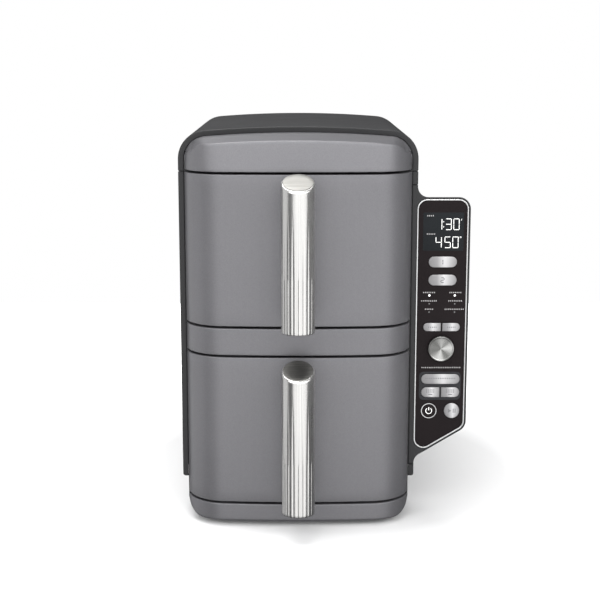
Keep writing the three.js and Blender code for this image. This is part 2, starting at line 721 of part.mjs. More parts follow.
// Everything between two slanting planes that lie this far below the bar's slanting top.
function slantSlab(below, thickness) {
  const back = -HANDLE_STANDOFF + HANDLE_RADIUS;
  const front = -HANDLE_STANDOFF - HANDLE_RADIUS;
  const slope = HANDLE_SLANT / (back - front);
  const top = DRAWER_HEIGHT + HANDLE_OVERSHOOT - below;
  const reach = 5;
  const outline = [
    new THREE.Vector2(front - reach, top - HANDLE_SLANT - slope * reach - thickness),
    new THREE.Vector2(back + reach, top + slope * reach - thickness),
    new THREE.Vector2(back + reach, top + slope * reach),
    new THREE.Vector2(front - reach, top - HANDLE_SLANT - slope * reach),
  ];
  return prism(outline, "x", -HANDLE_RADIUS - 1, HANDLE_RADIUS + 1);
}

function handleArms(clearance) {
  const half = ARM_WIDTH / 2 + clearance;
  const top = DRAWER_HEIGHT + HANDLE_OVERSHOOT;
  const middles = [HANDLE_START + LOWER_ARM_RISE, top - UPPER_ARM_DROP];
  const [low, high] = middles.map((z) => {
    const reach = ARM_HEIGHT / 2 + clearance;
    return box(-half, half, -HANDLE_STANDOFF, -FIT, z - reach, z + reach);
  });
  return low.add(high);
}

// A fluted tube, the grip core with two arms inside it, and the cap that closes the slanting top.
function handle(level) {
  const top = DRAWER_HEIGHT + HANDLE_OVERSHOOT;
  const boreRadius = HANDLE_RADIUS - HANDLE_WALL;
  const coreRadius = boreRadius - FIT;
  const long = 2 * top;
  const rod = (outline, bottom) => prism(outline, "z", bottom, top + 1);
  const tube = rod(fluted(0, -HANDLE_STANDOFF, HANDLE_RADIUS), HANDLE_START)
    .intersect(slantSlab(0, long))
    .subtract(rod(circle(0, -HANDLE_STANDOFF, boreRadius), HANDLE_START - 1))
    .subtract(handleArms(FIT));
  const coreTop = CAP_SINK + CAP_THICKNESS + FIT;
  const coreOutline = circle(0, -HANDLE_STANDOFF, coreRadius);
  const core = rod(coreOutline, HANDLE_START + CAP_SINK).intersect(slantSlab(coreTop, long));
  const cap = rod(coreOutline, HANDLE_START).intersect(slantSlab(CAP_SINK, CAP_THICKNESS));
  return [
    piece(`${level}_handle_bar`, tube, brushedChrome),
    piece(`${level}_handle_bracket`, core.add(handleArms(0)), blackPlastic),
    piece(`${level}_handle_cap`, cap, brushedCap),
  ];
}

// ---- Cavities and hot-air units ---------------------------------------------------------------------

// A tray-like box, open at the front, with two runners on its floor and a fan mouth at the back.
function cavityLiner(level) {
  const low = LINER_INSET;
  const high = low + linerHeight;
  const wall = LINER_WALL;
  const outside = prism(rectangle(-linerHalf, linerHalf, low, high, 6, 3), "y", linerFront, linerBack);
  const hollow = rectangle(-linerHalf + wall, linerHalf - wall, low + wall, high - wall, 5, 3);
  const inside = prism(hollow, "y", linerFront - 1, linerBack - wall);
  const mouth = drum(fanMouthRadius, linerBack - 5, linerBack + 1, 24, 0, DRAWER_HEIGHT / 2);
  const runners = [-1, 1].map((side) => {
    const inner = side * (basketHalf - 12);
    const outer = side * (basketHalf - 12 - RUNNER_WIDTH);
    const x0 = Math.min(inner, outer);
    const x1 = Math.max(inner, outer);
    return box(x0, x1, linerFront + 2, basketBack, linerFloor - 0.2, linerFloor + RUNNER_HEIGHT);
  });
  const shell = outside.subtract(inside).subtract(mouth);
  return piece(`${level}_cavity_liner`, joined(shell, runners), bareSteel);
}

// Everything here is measured from the fan's axis and from the back of the liner.
function hotAirUnit(level, axisHeight) {
  return groupAt(0, linerBack, axisHeight, [
    fanGuard(level),
    fanHousing(level),
    heatingElement(level),
    piece(`${level}_fan_shaft`, drum(SHAFT_RADIUS, 5, fanLayout.motorBack + 2, 16), bareSteel),
    convectionFan(level),
    coolingFan(level),
    fanMotor(level),
  ]);
}

const fanLayout = {
  bladeFront: 6,
  coolingFront: FAN_HOUSING_DEPTH + 8,
  coolingBack: FAN_HOUSING_DEPTH + 16,
  motorFront: FAN_HOUSING_DEPTH + 20,
  motorBack: FAN_HOUSING_DEPTH + 20 + MOTOR_LENGTH,
};

function fanGuard(level) {
  const back = -LINER_WALL - FIT;
  const slots = [];
  const pitch = 14;
  const columns = 2 * Math.floor((fanMouthRadius - 10) / pitch) + 1;
  for (let column = 0; column < columns; column += 1) {
    const x = (column - (columns - 1) / 2) * pitch;
    const reach = Math.sqrt((fanMouthRadius - 3) ** 2 - (Math.abs(x) + 4.5) ** 2);
    slots.push(rectangle(x - 4.5, x + 4.5, 2, reach), rectangle(x - 4.5, x + 4.5, -reach, -2));
  }
  const plate = drum(fanMouthRadius + 4, back - 1.2, back);
  const cutters = slots.map((slot) => prism(slot, "y", back - 3, back + 1));
  return piece(`${level}_fan_guard`, cut(plate, cutters), bareSteel);
}

function fanHousing(level) {
  const wall = FAN_HOUSING_WALL;
  const dish = drum(fanHousingRadius + wall, FIT, FAN_HOUSING_DEPTH);
  const inside = drum(fanHousingRadius, FIT - 1, FAN_HOUSING_DEPTH - wall);
  const shaftHole = drum(SHAFT_RADIUS + 2, 5, FAN_HOUSING_DEPTH + 1, 16);
  const legHoles = [-1, 1].map((side) =>
    drum(HEATER_ROD + 0.8, 5, FAN_HOUSING_DEPTH + 1, 12, (side * HEATER_LEG_SPACING) / 2, heaterRadius),
  );
  return piece(`${level}_fan_housing`, cut(dish, [inside, shaftHole, ...legHoles]), bareSteel);
}

// One ring of heating rod round the fan, with two legs through the back of the fan housing.
function heatingElement(level) {
  const halfGap = HEATER_LEG_SPACING / 2;
  const legBack = FAN_HOUSING_DEPTH + 7;
  const start = Math.PI / 2 - 1.5 * Math.asin(halfGap / heaterRadius);
  const end = Math.PI / 2 + 1.5 * Math.asin(halfGap / heaterRadius) - 2 * Math.PI;
  const ring = arc(0, 0, heaterRadius, start, end, 26);
  const points = [
    new THREE.Vector3(halfGap, legBack, heaterRadius),
    new THREE.Vector3(halfGap, legBack / 2 + HEATER_BACK / 2, heaterRadius),
    new THREE.Vector3(halfGap, HEATER_BACK + 4, heaterRadius),
    ...ring.map((point) => new THREE.Vector3(point.x, HEATER_BACK, point.y)),
    new THREE.Vector3(-halfGap, HEATER_BACK + 4, heaterRadius),
    new THREE.Vector3(-halfGap, legBack / 2 + HEATER_BACK / 2, heaterRadius),
    new THREE.Vector3(-halfGap, legBack, heaterRadius),
  ];
  const path = new THREE.CatmullRomCurve3(points);
  const section = new THREE.Shape(circle(0, 0, HEATER_ROD, 6));
  const rod = new THREE.ExtrudeGeometry(section, { steps: 42, extrudePath: path, bevelEnabled: false });
  return piece(`${level}_heating_element`, solid(rod), bareSteel);
}

function convectionFan(level) {
  const front = fanLayout.bladeFront;
  const back = front + FAN_BLADE_HEIGHT;
  const disc = drum(fanRadius, back, back + 1.2);
  const hub = drum(8, front + 2, back + 6, 16);
  const bore = drum(SHAFT_RADIUS + FIT, front, back + 7, 16);
  const blades = Array.from({ length: FAN_BLADES }, (_, i) => {
    const blade = box(14, fanRadius - 1, front, back + 0.5, -0.7, 0.7);
    return blade.rotate([0, (360 / FAN_BLADES) * i, 0]);
  });
  const wheel = joined(disc.add(hub), blades).subtract(bore);
  return piece(`${level}_convection_fan`, wheel, bareSteel);
}

function coolingFan(level) {
  const { coolingFront: front, coolingBack: back } = fanLayout;
  const hub = drum(9, front, back, 16);
  const bore = drum(SHAFT_RADIUS + FIT, front - 1, back + 1, 16);
  const middle = (front + back) / 2;
  const blades = Array.from({ length: COOLING_BLADES }, (_, i) => {
    const blade = box(6, COOLING_FAN_RADIUS, -0.6, 0.6, -7, 7);
    const pitched = blade.rotate([28, 0, 0]).translate([0, middle, 0]);
    return pitched.rotate([0, (360 / COOLING_BLADES) * i, 0]);
  });
  const wheel = joined(hub, blades).subtract(bore);
  return piece(`${level}_cooling_fan`, wheel, blackPlastic);
}

// The motor can with its cross bar and the two legs that stand on the fan housing.
function fanMotor(level) {
  const { motorFront, motorBack } = fanLayout;
  const can = drum(MOTOR_RADIUS, motorFront, motorBack, 28);
  const bore = drum(SHAFT_RADIUS + 0.5, motorFront - 1, motorBack + 3, 16);
  const reach = fanHousingRadius - 4;
  const bar = box(-reach, reach, motorBack - 2, motorBack, -9, 9);
  const legs = [-1, 1].map((side) => {
    const x = side * (reach - 1);
    return box(x - 1, x + 1, FAN_HOUSING_DEPTH + FIT, motorBack, -9, 9);
  });
  const shape = joined(can.add(bar), legs).subtract(bore);
  return piece(`${level}_fan_motor`, shape, bareSteel);
}

function powerBoard() {
  const middle = (lowerDrawerTop + middleBandTop) / 2;
  const y = housingBack - HOUSING_WALL - 7;
  const board = box(-68, 68, y, y + BOARD_THICKNESS, middle - 32, middle + 32);
  const transformer = box(-56, -22, y - 24, y + 0.2, middle - 18, middle + 14);
  const capacitor = box(4, 22, y - 20, y + 0.2, middle - 16, middle + 2);
  const relay = box(34, 56, y - 14, y + 0.2, middle - 8, middle + 16);
  return piece("power_board", board.add(transformer).add(capacitor).add(relay), boardGreen);
}

// ---- Control pod --------------------------------------------------------------------------------------

// The panel's outline: square at the top, cut off aslant at the bottom.
function panelCorners(distance) {
  const corners = [
    [panelLeft, panelTop - PANEL_LONG_SIDE, PANEL_CORNER],
    [panelRight, panelTop - PANEL_SHORT_SIDE, PANEL_CORNER],
    [panelRight, panelTop, PANEL_CORNER],
    [panelLeft, panelTop, PANEL_CORNER],
  ];
  return grown(corners, distance);
}

// The wing's outline runs into the housing's side with a round neck above and below.
function podOutline() {
  const [lowLeft, lowRight, highRight] = panelCorners(POD_BORDER);
  const slope = (lowRight[1] - lowLeft[1]) / (lowRight[0] - lowLeft[0]);
  const side = housingHalf;
  const neckZ = lowRight[1] - slope * (lowRight[0] - side);
  return rounded([
    [side - HOUSING_WALL, podBottom, 0],
    [side, podBottom, 0],
    [side, neckZ, Math.min(POD_NECK_RADIUS, neckZ - podBottom)],
    lowRight,
    highRight,
    [side, highRight[1], POD_NECK_RADIUS],
    [side, podTop, 0],
    [side - HOUSING_WALL, podTop, 0],
  ]);
}

// The wing gets shallower towards its tip and lower towards its back.
function podVolume(outline, inset) {
  const root = HOUSING_FRONT + POD_STRIP_DEPTH - inset;
  const front = HOUSING_FRONT - (inset ? 1 : 0);
  const geometry = prismGeometry(outline, "y", front, root);
  const middle = (panelTop + podBottom) / 2;
  const position = geometry.attributes.position;
  for (let i = 0; i < position.count; i += 1) {
    const deep = (position.getY(i) - HOUSING_FRONT) / POD_STRIP_DEPTH;
    const scale = 1 - (1 - POD_BACK_SCALE) * Math.max(deep, 0);
    position.setZ(i, middle + (position.getZ(i) - middle) * scale);
  }
  const tip = HOUSING_FRONT + POD_TIP_DEPTH - inset;
  const wedge = [
    new THREE.Vector2(0, front - 1),
    new THREE.Vector2(podRight + 1, front - 1),
    new THREE.Vector2(podRight + 1, tip),
    new THREE.Vector2(housingHalf, root),
    new THREE.Vector2(0, root),
  ];
  return solid(geometry).intersect(prism(wedge, "z", 0, housingTop));
}

function podShell() {
  const strip = housingShell().intersect(podStripRegion(0));
  const wing = podVolume(podOutline(), 0);
  const mouth = rounded(panelCorners(TRIM_WIDTH / 2 + FIT));
  const pocket = prism(mouth, "y", glassFront - 1, glassFront + TRIM_DEPTH);
  const hollow = podVolume(mouth, HOUSING_WALL);
  const cableY = boardFront + 8;
  const cableHole = box(housingHalf - 4, housingHalf + 4, cableY, cableY + 12, panelTop - 60, panelTop - 20);
  return piece("pod_shell", cut(strip.add(wing), [pocket, hollow, cableHole]), darkPlastic);
}

function panelTrim() {
  const outer = rounded(panelCorners(TRIM_WIDTH / 2));
  const inner = rounded(panelCorners(-TRIM_WIDTH / 2));
  const front = glassFront - TRIM_PROUD;
  return piece("panel_trim", prism(outer, "y", front, front + TRIM_DEPTH, [inner]), brushedChrome);
}

// A pill, or the left or right half of a split pill, about its own middle.
function buttonOutline(button, grow) {
  const halfWidth = button.width / 2 + grow;
  const halfHeight = button.height / 2 + grow;
  const round = halfHeight - 0.01;
  const left = button.end === "right" ? 0.6 : round;
  const right = button.end === "left" ? 0.6 : round;
  const x = columnX + button.across;
  const z = panelTop - button.drop;
  const corners = [
    [x - halfWidth, z - halfHeight, left],
    [x + halfWidth, z - halfHeight, right],
    [x + halfWidth, z + halfHeight, right],
    [x - halfWidth, z + halfHeight, left],
  ];
  return rounded(corners, 4);
}

function panelGlass() {
  const outline = rounded(panelCorners(-TRIM_WIDTH / 2 - FIT));
  const holes = BUTTONS.map((button) => buttonOutline(button, BUTTON_CLEARANCE));
  holes.push(circle(dialX, panelTop - DIAL.drop, DIAL.stem + 2 * FIT, 16));
  const plate = prism(outline, "y", glassFront, glassFront + GLASS_THICKNESS, holes);
  return piece("panel_glass", plate, glossBlack);
}

function displayModule() {
  const half = DISPLAY.width / 2;
  const z = panelTop - DISPLAY.drop;
  const front = glassFront + GLASS_THICKNESS + FIT;
  const z0 = z - DISPLAY.height / 2;
  const z1 = z + DISPLAY.height / 2;
  const block = box(columnX - half, columnX + half, front, boardFront - FIT, z0, z1);
  return piece("display_module", block, glossBlack);
}

// The board carries one small switch behind each button and the dial's encoder.
function controlBoard() {
  const outline = rounded(panelCorners(-4));
  const board = prism(outline, "y", boardFront, boardFront + BOARD_THICKNESS);
  const switches = BUTTONS.map((button) => {
    const x = columnX + button.across;
    const z = panelTop - button.drop;
    return box(x - 3, x + 3, switchFront, boardFront + 0.2, z - 3, z + 3);
  });
  const z = panelTop - DIAL.drop;
  const encoderFront = glassFront + GLASS_THICKNESS + 1;
  const encoder = box(dialX - 7, dialX + 7, encoderFront, boardFront + 0.2, z - 7, z + 7);
  const bore = drum(DIAL.stem + FIT, encoderFront - 1, boardFront - 1, 16, dialX, z);
  const shape = joined(board, [...switches, encoder]).subtract(bore);
  return piece("control_board", shape, boardGreen);
}

function buttons() {
  return BUTTONS.map((button) => {
    const shape = prism(buttonOutline(button, 0), "y", buttonFront, buttonBack);
    const look = button.name === "power_button" ? glossBlack : brushedChrome;
    return piece(button.name, shape, look);
  });
}

// A turned knob with a dished face and a stem that goes into the encoder.
function dialKnob() {
  const face = glassFront - DIAL.proud;
  const skirt = glassFront - FIT;
  const stemEnd = glassFront + GLASS_THICKNESS + 5;
  const profile = [
    [0, stemEnd],
    [DIAL.stem, stemEnd],
    [DIAL.stem, skirt],
    [DIAL.radius, skirt],
    [DIAL.radius - 0.3, face + 0.9],
    [DIAL.radius - 1.1, face],
    [DIAL.radius - 1.8, face + 0.4],
    [0, face + 0.4],
  ];
  const points = profile.map(([radius, y]) => new THREE.Vector2(radius, y)).reverse();
  const knob = piece("dial_knob", solid(new THREE.LatheGeometry(points, 32)), brushedChrome);
  knob.position.set(dialX, 0, panelTop - DIAL.drop);
  return knob;
}

// ---- Assembly -------------------------------------------------------------------------------------------

function airFryer() {
  const fryer = new THREE.Group();
  fryer.name = "air_fryer";
  fryer.add(...housingPieces(), basePan(), ...feet(), cordGland(), ...frontPieces());
  const levels = [
    ["upper", upperDrawerBottom],
    ["lower", lowerDrawerBottom],
  ];
  levels.forEach(([level, bottom]) => {
    fryer.add(groupAt(0, 0, bottom, [cavityLiner(level)]));
    fryer.add(hotAirUnit(level, bottom + DRAWER_HEIGHT / 2));
    fryer.add(drawer(level, bottom));
  });
  fryer.add(powerBoard(), podShell(), panelTrim(), panelGlass(), displayModule(), controlBoard());
  fryer.add(...buttons(), dialKnob());
  const front = -HANDLE_STANDOFF - HANDLE_RADIUS;
  fryer.position.set(-(podRight - housingHalf) / 2, -(front + housingBack) / 2, 0);
  return fryer;
}

export default airFryer();
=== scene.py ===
"""The looks of a two-drawer air fryer: bowed grey fronts, dark housing, control pod, fluted handles.

Lengths are in millimetres about the middle of the drawer fronts until at() turns them into
metres in the shared frame. x runs right, y runs back, z runs up from the floor.
"""

import json
import math
from contextlib import contextmanager

import bmesh
import bpy
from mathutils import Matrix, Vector


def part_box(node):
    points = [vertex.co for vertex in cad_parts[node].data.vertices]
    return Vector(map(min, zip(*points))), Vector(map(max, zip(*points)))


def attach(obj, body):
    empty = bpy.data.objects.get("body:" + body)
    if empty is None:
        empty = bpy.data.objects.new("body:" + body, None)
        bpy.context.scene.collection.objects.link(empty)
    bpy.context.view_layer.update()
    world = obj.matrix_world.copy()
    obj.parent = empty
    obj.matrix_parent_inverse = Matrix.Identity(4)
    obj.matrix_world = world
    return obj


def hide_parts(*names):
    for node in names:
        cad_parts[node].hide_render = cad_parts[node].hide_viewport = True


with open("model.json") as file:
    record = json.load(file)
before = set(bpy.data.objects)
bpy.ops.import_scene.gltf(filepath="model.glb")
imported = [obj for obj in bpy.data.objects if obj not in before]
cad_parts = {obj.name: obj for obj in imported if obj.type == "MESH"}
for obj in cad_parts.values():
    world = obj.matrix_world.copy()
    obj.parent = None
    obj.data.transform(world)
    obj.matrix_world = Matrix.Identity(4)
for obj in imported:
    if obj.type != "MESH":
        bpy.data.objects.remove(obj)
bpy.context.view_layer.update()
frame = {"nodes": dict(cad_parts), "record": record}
nodes = frame["nodes"]

# ---- The maker's sizes ------------------------------------------------------------------

MM = 0.001
CAMERA_PLACE = (1.7, -1207, 457)
CAMERA_PITCH = 10.9
CAMERA_LENS = 78.54
CROWN_RADIUS = 1095
HOUSING_CORNER = 27
RIM_WIDTH = 5.3
REAR_FALL_START = 290
REAR_FALL_RADIUS = 400
REAR_EDGE_RADIUS = 14
REAR_CORNER_RADIUS = 26
WALL = 2.4
BOW_RADIUS = 840
FRONT_CORNER = 40
BASE_CORNER = 14
FASCIA_LEAN = 4
FASCIA_CHAMFER = 5.7
SEAM_ROUND = 0.8
HANDLE_RADIUS = 15.5
HANDLE_SLANT = 13.3
FLUTES = 20
FLUTE_DEPTH = 0.5
FLUTE_STEPS = 14
FLUTE_TOP = 0.86
FLUTE_FADE = 0.5
PANEL_CORNER = 9
TRIM_WIDTH = 1.4
POD_BORDER = 2.6
POD_NECK = 10
POD_STRIP_DEPTH = 46
POD_TIP_DEPTH = 18
POD_BACK_SCALE = 0.94
MARK_RAISE = 0.05
RING_TURNS = 21000.0
PANEL_LEFT_LENGTH = 252.1
PANEL_RIGHT_LENGTH = 223.1
DISPLAY_RAISE = 0.1
PLATE_RAISE = 0.12
BUTTON_EDGE = 0.55
VENT_SLOTS = 9
VENT_PITCH = 8
VENT_HALF_WIDTH = 1.7
VENT_HALF_HEIGHT = 26
GLAND_HOLE_RADIUS = 7.3
LAMP_TOP_DROP = 89.6
LAMP_ACROSS = 12.3
LAMP_ROW_PITCH = 8.2
LAMP_DROP = 2.9

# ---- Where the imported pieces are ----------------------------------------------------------

low_front, high_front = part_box("middle_band")
CENTRE_X = (low_front.x + high_front.x) / 2
FRONT_Y = low_front.y


def at(x, y, z):
    return Vector((CENTRE_X + x * MM, FRONT_Y + y * MM, z * MM))


def span(node):
    """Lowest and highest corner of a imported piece, in the maker's millimetres."""
    low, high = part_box(node)
    shift = Vector((CENTRE_X, FRONT_Y, 0))
    return (low - shift) / MM, (high - shift) / MM


def middle(node):
    low, high = span(node)
    return (low + high) / 2


cover_low, cover_high = span("top_cover")
rear_low, rear_high = span("rear_cover")
side_low, side_high = span("left_side_panel")
pod_low, pod_high = span("pod_shell")
trim_low, trim_high = span("panel_trim")
HALF = cover_high.x
TOP = cover_high.z
RIM_FRONT = cover_low.y
BACK = rear_high.y
FRONT_HALF = HALF - RIM_WIDTH
BAND_BACK = high_front.y / MM - FRONT_Y / MM
CORNER_X = HALF - HOUSING_CORNER
TOP_LEAN = math.asin(CORNER_X / (CROWN_RADIUS - HOUSING_CORNER))
CROWN_Z = TOP - CROWN_RADIUS
CORNER_Z = CROWN_Z + (CROWN_RADIUS - HOUSING_CORNER) * math.cos(TOP_LEAN)
COLUMN_X = middle("drawer_one_button").x
PANEL_TOP = trim_high.z - TRIM_WIDTH / 2
PANEL_LEFT = trim_low.x + TRIM_WIDTH / 2
PANEL_RIGHT = trim_high.x - TRIM_WIDTH / 2
PANEL_BOTTOM_LEFT = PANEL_TOP - PANEL_LEFT_LENGTH
PANEL_BOTTOM_RIGHT = PANEL_TOP - PANEL_RIGHT_LENGTH

# ---- Mesh making ----------------------------------------------------------------------------


@contextmanager
def opened(mesh):
    """Opens a mesh for editing, and turns its faces outwards when the editing ends."""
    bm = bmesh.new()
    bm.from_mesh(mesh)
    yield bm
    bmesh.ops.recalc_face_normals(bm, faces=bm.faces)
    bm.to_mesh(mesh)
    bm.free()


def open_edges(bm):
    return [edge for edge in bm.edges if edge.is_boundary]


def piece(name, points, faces, body, material, replaces=(), sharp=35):
    """A mesh object from millimetre points, riding on a body."""
    mesh = bpy.data.meshes.new(name)
    mesh.from_pydata([at(*p) for p in points], [], faces)
    with opened(mesh) as bm:
        bmesh.ops.remove_doubles(bm, verts=bm.verts, dist=0.000004)
        bmesh.ops.dissolve_degenerate(bm, edges=bm.edges, dist=0.000002)
    obj = bpy.data.objects.new(name, mesh)
    bpy.context.scene.collection.objects.link(obj)
    mesh.shade_smooth()
    mesh.set_sharp_from_angle(angle=math.radians(sharp))
    mesh.materials.append(material)
    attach(obj, body)
    if replaces:
        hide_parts(*replaces)
    return obj


def housing_piece(name, points, faces, replaces=()):
    return piece(name, points, faces, "housing", HOUSING, replaces, sharp=40)


def grid(rows, closed=False):
    """Points and quads of equally long rows; closed joins each row's end to its start."""
    count = len(rows[0])
    points = [p for row in rows for p in row]
    faces = []
    for i in range(len(rows) - 1):
        for j in range(count if closed else count - 1):
            a = i * count + j
            b = i * count + (j + 1) % count
            faces.append((a, b, b + count, a + count))
    return points, faces


def end_face(points, rows):
    return tuple(range(len(points) - len(rows[0]), len(points)))


def capped(rows):
    """A closed tube of rings with flat ends."""
    points, faces = grid(rows, closed=True)
    faces.append(tuple(range(len(rows[0]) - 1, -1, -1)))
    faces.append(end_face(points, rows))
    return points, faces


def merged(*parts):
    points, faces = [], []
    for more_points, more_faces in parts:
        start = len(points)
        points += more_points
        faces += [tuple(i + start for i in face) for face in more_faces]
    return points, faces


def arc(cx, cy, radius, start, end, steps):
    """Points on an arc with their outward directions: (x, y, nx, ny)."""
    made = []
    for i in range(steps + 1):
        a = start + (end - start) * i / steps
        made.append((cx + radius * math.cos(a), cy + radius * math.sin(a), math.cos(a), math.sin(a)))
    return made


def rounding(radius, steps=5):
    """(depth behind the face, inset from the side) from the face round to the side."""
    turns = [math.pi / 2 * i / steps for i in range(steps + 1)]
    return [(radius * (1 - math.cos(a)), radius * (1 - math.sin(a))) for a in turns]


def rounded(corners, steps=10):
    """A closed outline of (x, z, nx, nz) from corners (x, z, radius) in anticlockwise order."""
    made = []
    for i, (x, z, radius) in enumerate(corners):
        here = Vector((x, z))
        before = (Vector(corners[i - 1][:2]) - here).normalized()
        after = (Vector(corners[(i + 1) % len(corners)][:2]) - here).normalized()
        half = before.angle(after) / 2
        turn = 1 if before.cross(after) < 0 else -1
        if radius < 0.01:
            out = (before + after).normalized() * -turn / math.sin(half)
            made.append((x, z, out.x, out.y))
            continue
        centre = here + (before + after).normalized() * radius / math.sin(half)
        first = here + before * radius / math.tan(half) - centre
        sweep = (math.pi - 2 * half) * turn
        start = math.atan2(first.y, first.x)
        for px, pz, nx, nz in arc(centre.x, centre.y, radius, start, start + sweep, steps):
            made.append((px, pz, nx * turn, nz * turn))
    return made


def slab(x0, x1, z0, z1, radius, steps):
    """A rectangle's outline with four equally round corners."""
    return rounded([(x0, z0, radius), (x1, z0, radius), (x1, z1, radius), (x0, z1, radius)], steps)


def grown(corners, distance):
    """Moves the sides of a convex anticlockwise outline outwards."""
    lines = []
    for i, (x, z, _) in enumerate(corners):
        along = (Vector(corners[(i + 1) % len(corners)][:2]) - Vector((x, z))).normalized()
        lines.append((Vector((x, z)) + Vector((along.y, -along.x)) * distance, along))
    made = []
    for i, (_, _, radius) in enumerate(corners):
        p0, d0 = lines[i - 1]
        p1, d1 = lines[i]
        reach = (p1 - p0).cross(d1) / d0.cross(d1)
        corner = p0 + d0 * reach
        made.append((corner.x, corner.y, max(radius + distance, 0.3)))
    return made


def ring_at(outline, y, inset=0.0):
    return [(x - nx * inset, y, z - nz * inset) for x, z, nx, nz in outline]


def finished(obj, sharp=35):
    """Bakes an object's modifiers into its mesh."""
    baked = bpy.data.meshes.new_from_object(obj.evaluated_get(bpy.context.evaluated_depsgraph_get()))
    obj.modifiers.clear()
    obj.data = baked
    baked.shade_smooth()
    baked.set_sharp_from_angle(angle=math.radians(sharp))
    return obj


def soften(obj, width, segments=2, angle=35):
    """Rounds the sharp edges of a piece, packed or new."""
    bevel = obj.modifiers.new("rounded_edges", "BEVEL")
    bevel.width = width * MM
    bevel.segments = segments
    bevel.limit_method = "ANGLE"
    bevel.angle_limit = math.radians(angle)
    return obj


# ---- Shader building blocks ---------------------------------------------------------------


def linear(red, green, blue):
    """A display colour in 0-255 as linear light."""
    def one(v):
        v /= 255
        return v / 12.92 if v <= 0.04045 else ((v + 0.055) / 1.055) ** 2.4

    return (one(red), one(green), one(blue), 1.0)


def fill(tree, node, inputs):
    """Sets a node's sockets; a value is a number, a colour or another node's output."""
    for label, value in inputs.items():
        if isinstance(value, bpy.types.NodeSocket):
            tree.links.new(value, node.inputs[label])
        else:
            node.inputs[label].default_value = value


def add(tree, kind, inputs=None, **settings):
    made = tree.nodes.new(kind)
    for key, value in settings.items():
        setattr(made, key, value)
    fill(tree, made, inputs or {})
    return made


def math_node(tree, operation, *values):
    return add(tree, "ShaderNodeMath", dict(enumerate(values)), operation=operation).outputs[0]


def spaced(values):
    """Turns keyword names into socket names."""
    return {label.replace("_", " "): value for label, value in values.items()}


def new_group(name, inputs, outputs):
    """An empty node group with float inputs (name: default) and float outputs."""
    group = bpy.data.node_groups.new(name, "ShaderNodeTree")
    kind = "NodeSocketFloat"
    for label, default in inputs.items():
        socket = group.interface.new_socket(name=label, in_out="INPUT", socket_type=kind)
        socket.default_value = default
    for label in outputs:
        group.interface.new_socket(name=label, in_out="OUTPUT", socket_type=kind)
    return group, add(group, "NodeGroupInput"), add(group, "NodeGroupOutput")


def noise_at(tree, vector, scale, detail=2.0):
    inputs = {"Vector": vector, "Scale": scale, "Detail": detail}
    return add(tree, "ShaderNodeTexNoise", inputs).outputs["Fac"]


def make_grain_group():
    """Moulded or sprayed grain: a fine height and a soft, larger blotch mask."""
    scales = {"Grain Scale": 900.0, "Blotch Scale": 9.0}
    group, start, end = new_group("surface_grain", scales, ("Height", "Blotches"))
    place = add(group, "ShaderNodeTexCoord").outputs["Object"]
    for label, detail, result in (("Grain Scale", 3.0, "Height"), ("Blotch Scale", 4.0, "Blotches")):
        fill(group, end, {result: noise_at(group, place, start.outputs[label], detail)})
    return group


def make_flake_group():
    """Metal flakes in paint: a small random brightness for each flake."""
    group, start, end = new_group("paint_flakes", {"Flake Scale": 2600.0}, ("Flakes",))
    place = add(group, "ShaderNodeTexCoord").outputs["Object"]
    inputs = {"Vector": place, "Scale": start.outputs["Flake Scale"]}
    cells = add(group, "ShaderNodeTexVoronoi", inputs)
    grey = add(group, "ShaderNodeRGBToBW", {"Color": cells.outputs["Color"]})
    fill(group, end, {"Flakes": grey.outputs["Val"]})
    return group


def make_brush_group():
    """Brushed lines: noise drawn out along one axis; the three inputs scale it along x, y and z."""
    scales = {"Across X": 900.0, "Across Y": 900.0, "Across Z": 6.0}
    group, start, end = new_group("brushed_lines", scales, ("Lines", "Fine Lines"))
    place = add(group, "ShaderNodeTexCoord").outputs["Object"]
    across = {axis: start.outputs[f"Across {axis}"] for axis in "XYZ"}
    scale = add(group, "ShaderNodeCombineXYZ", across).outputs["Vector"]
    drawn = add(group, "ShaderNodeVectorMath", {0: place, 1: scale}, operation="MULTIPLY")
    for label, factor, detail in (("Lines", 1.0, 2.0), ("Fine Lines", 3.5, 3.0)):
        fill(group, end, {label: noise_at(group, drawn.outputs["Vector"], factor, detail)})
    return group


def make_pale_edge_group():
    """Paler edges: a mask that is high on outward edges, broken up by noise."""
    group, start, end = new_group("pale_edges", {"Reach": 0.52, "Break Up": 240.0}, ("Mask",))
    shape = add(group, "ShaderNodeNewGeometry")
    place = add(group, "ShaderNodeTexCoord").outputs["Object"]
    noise = noise_at(group, place, start.outputs["Break Up"])
    over = math_node(group, "SUBTRACT", shape.outputs["Pointiness"], start.outputs["Reach"])
    strong = math_node(group, "MULTIPLY", over, 9.0)
    clamp = add(group, "ShaderNodeClamp", {"Value": math_node(group, "MULTIPLY", strong, noise)})
    fill(group, end, {"Mask": clamp.outputs["Result"]})
    return group


GRAIN = make_grain_group()
FLAKES = make_flake_group()
BRUSH = make_brush_group()
PALE_EDGES = make_pale_edge_group()


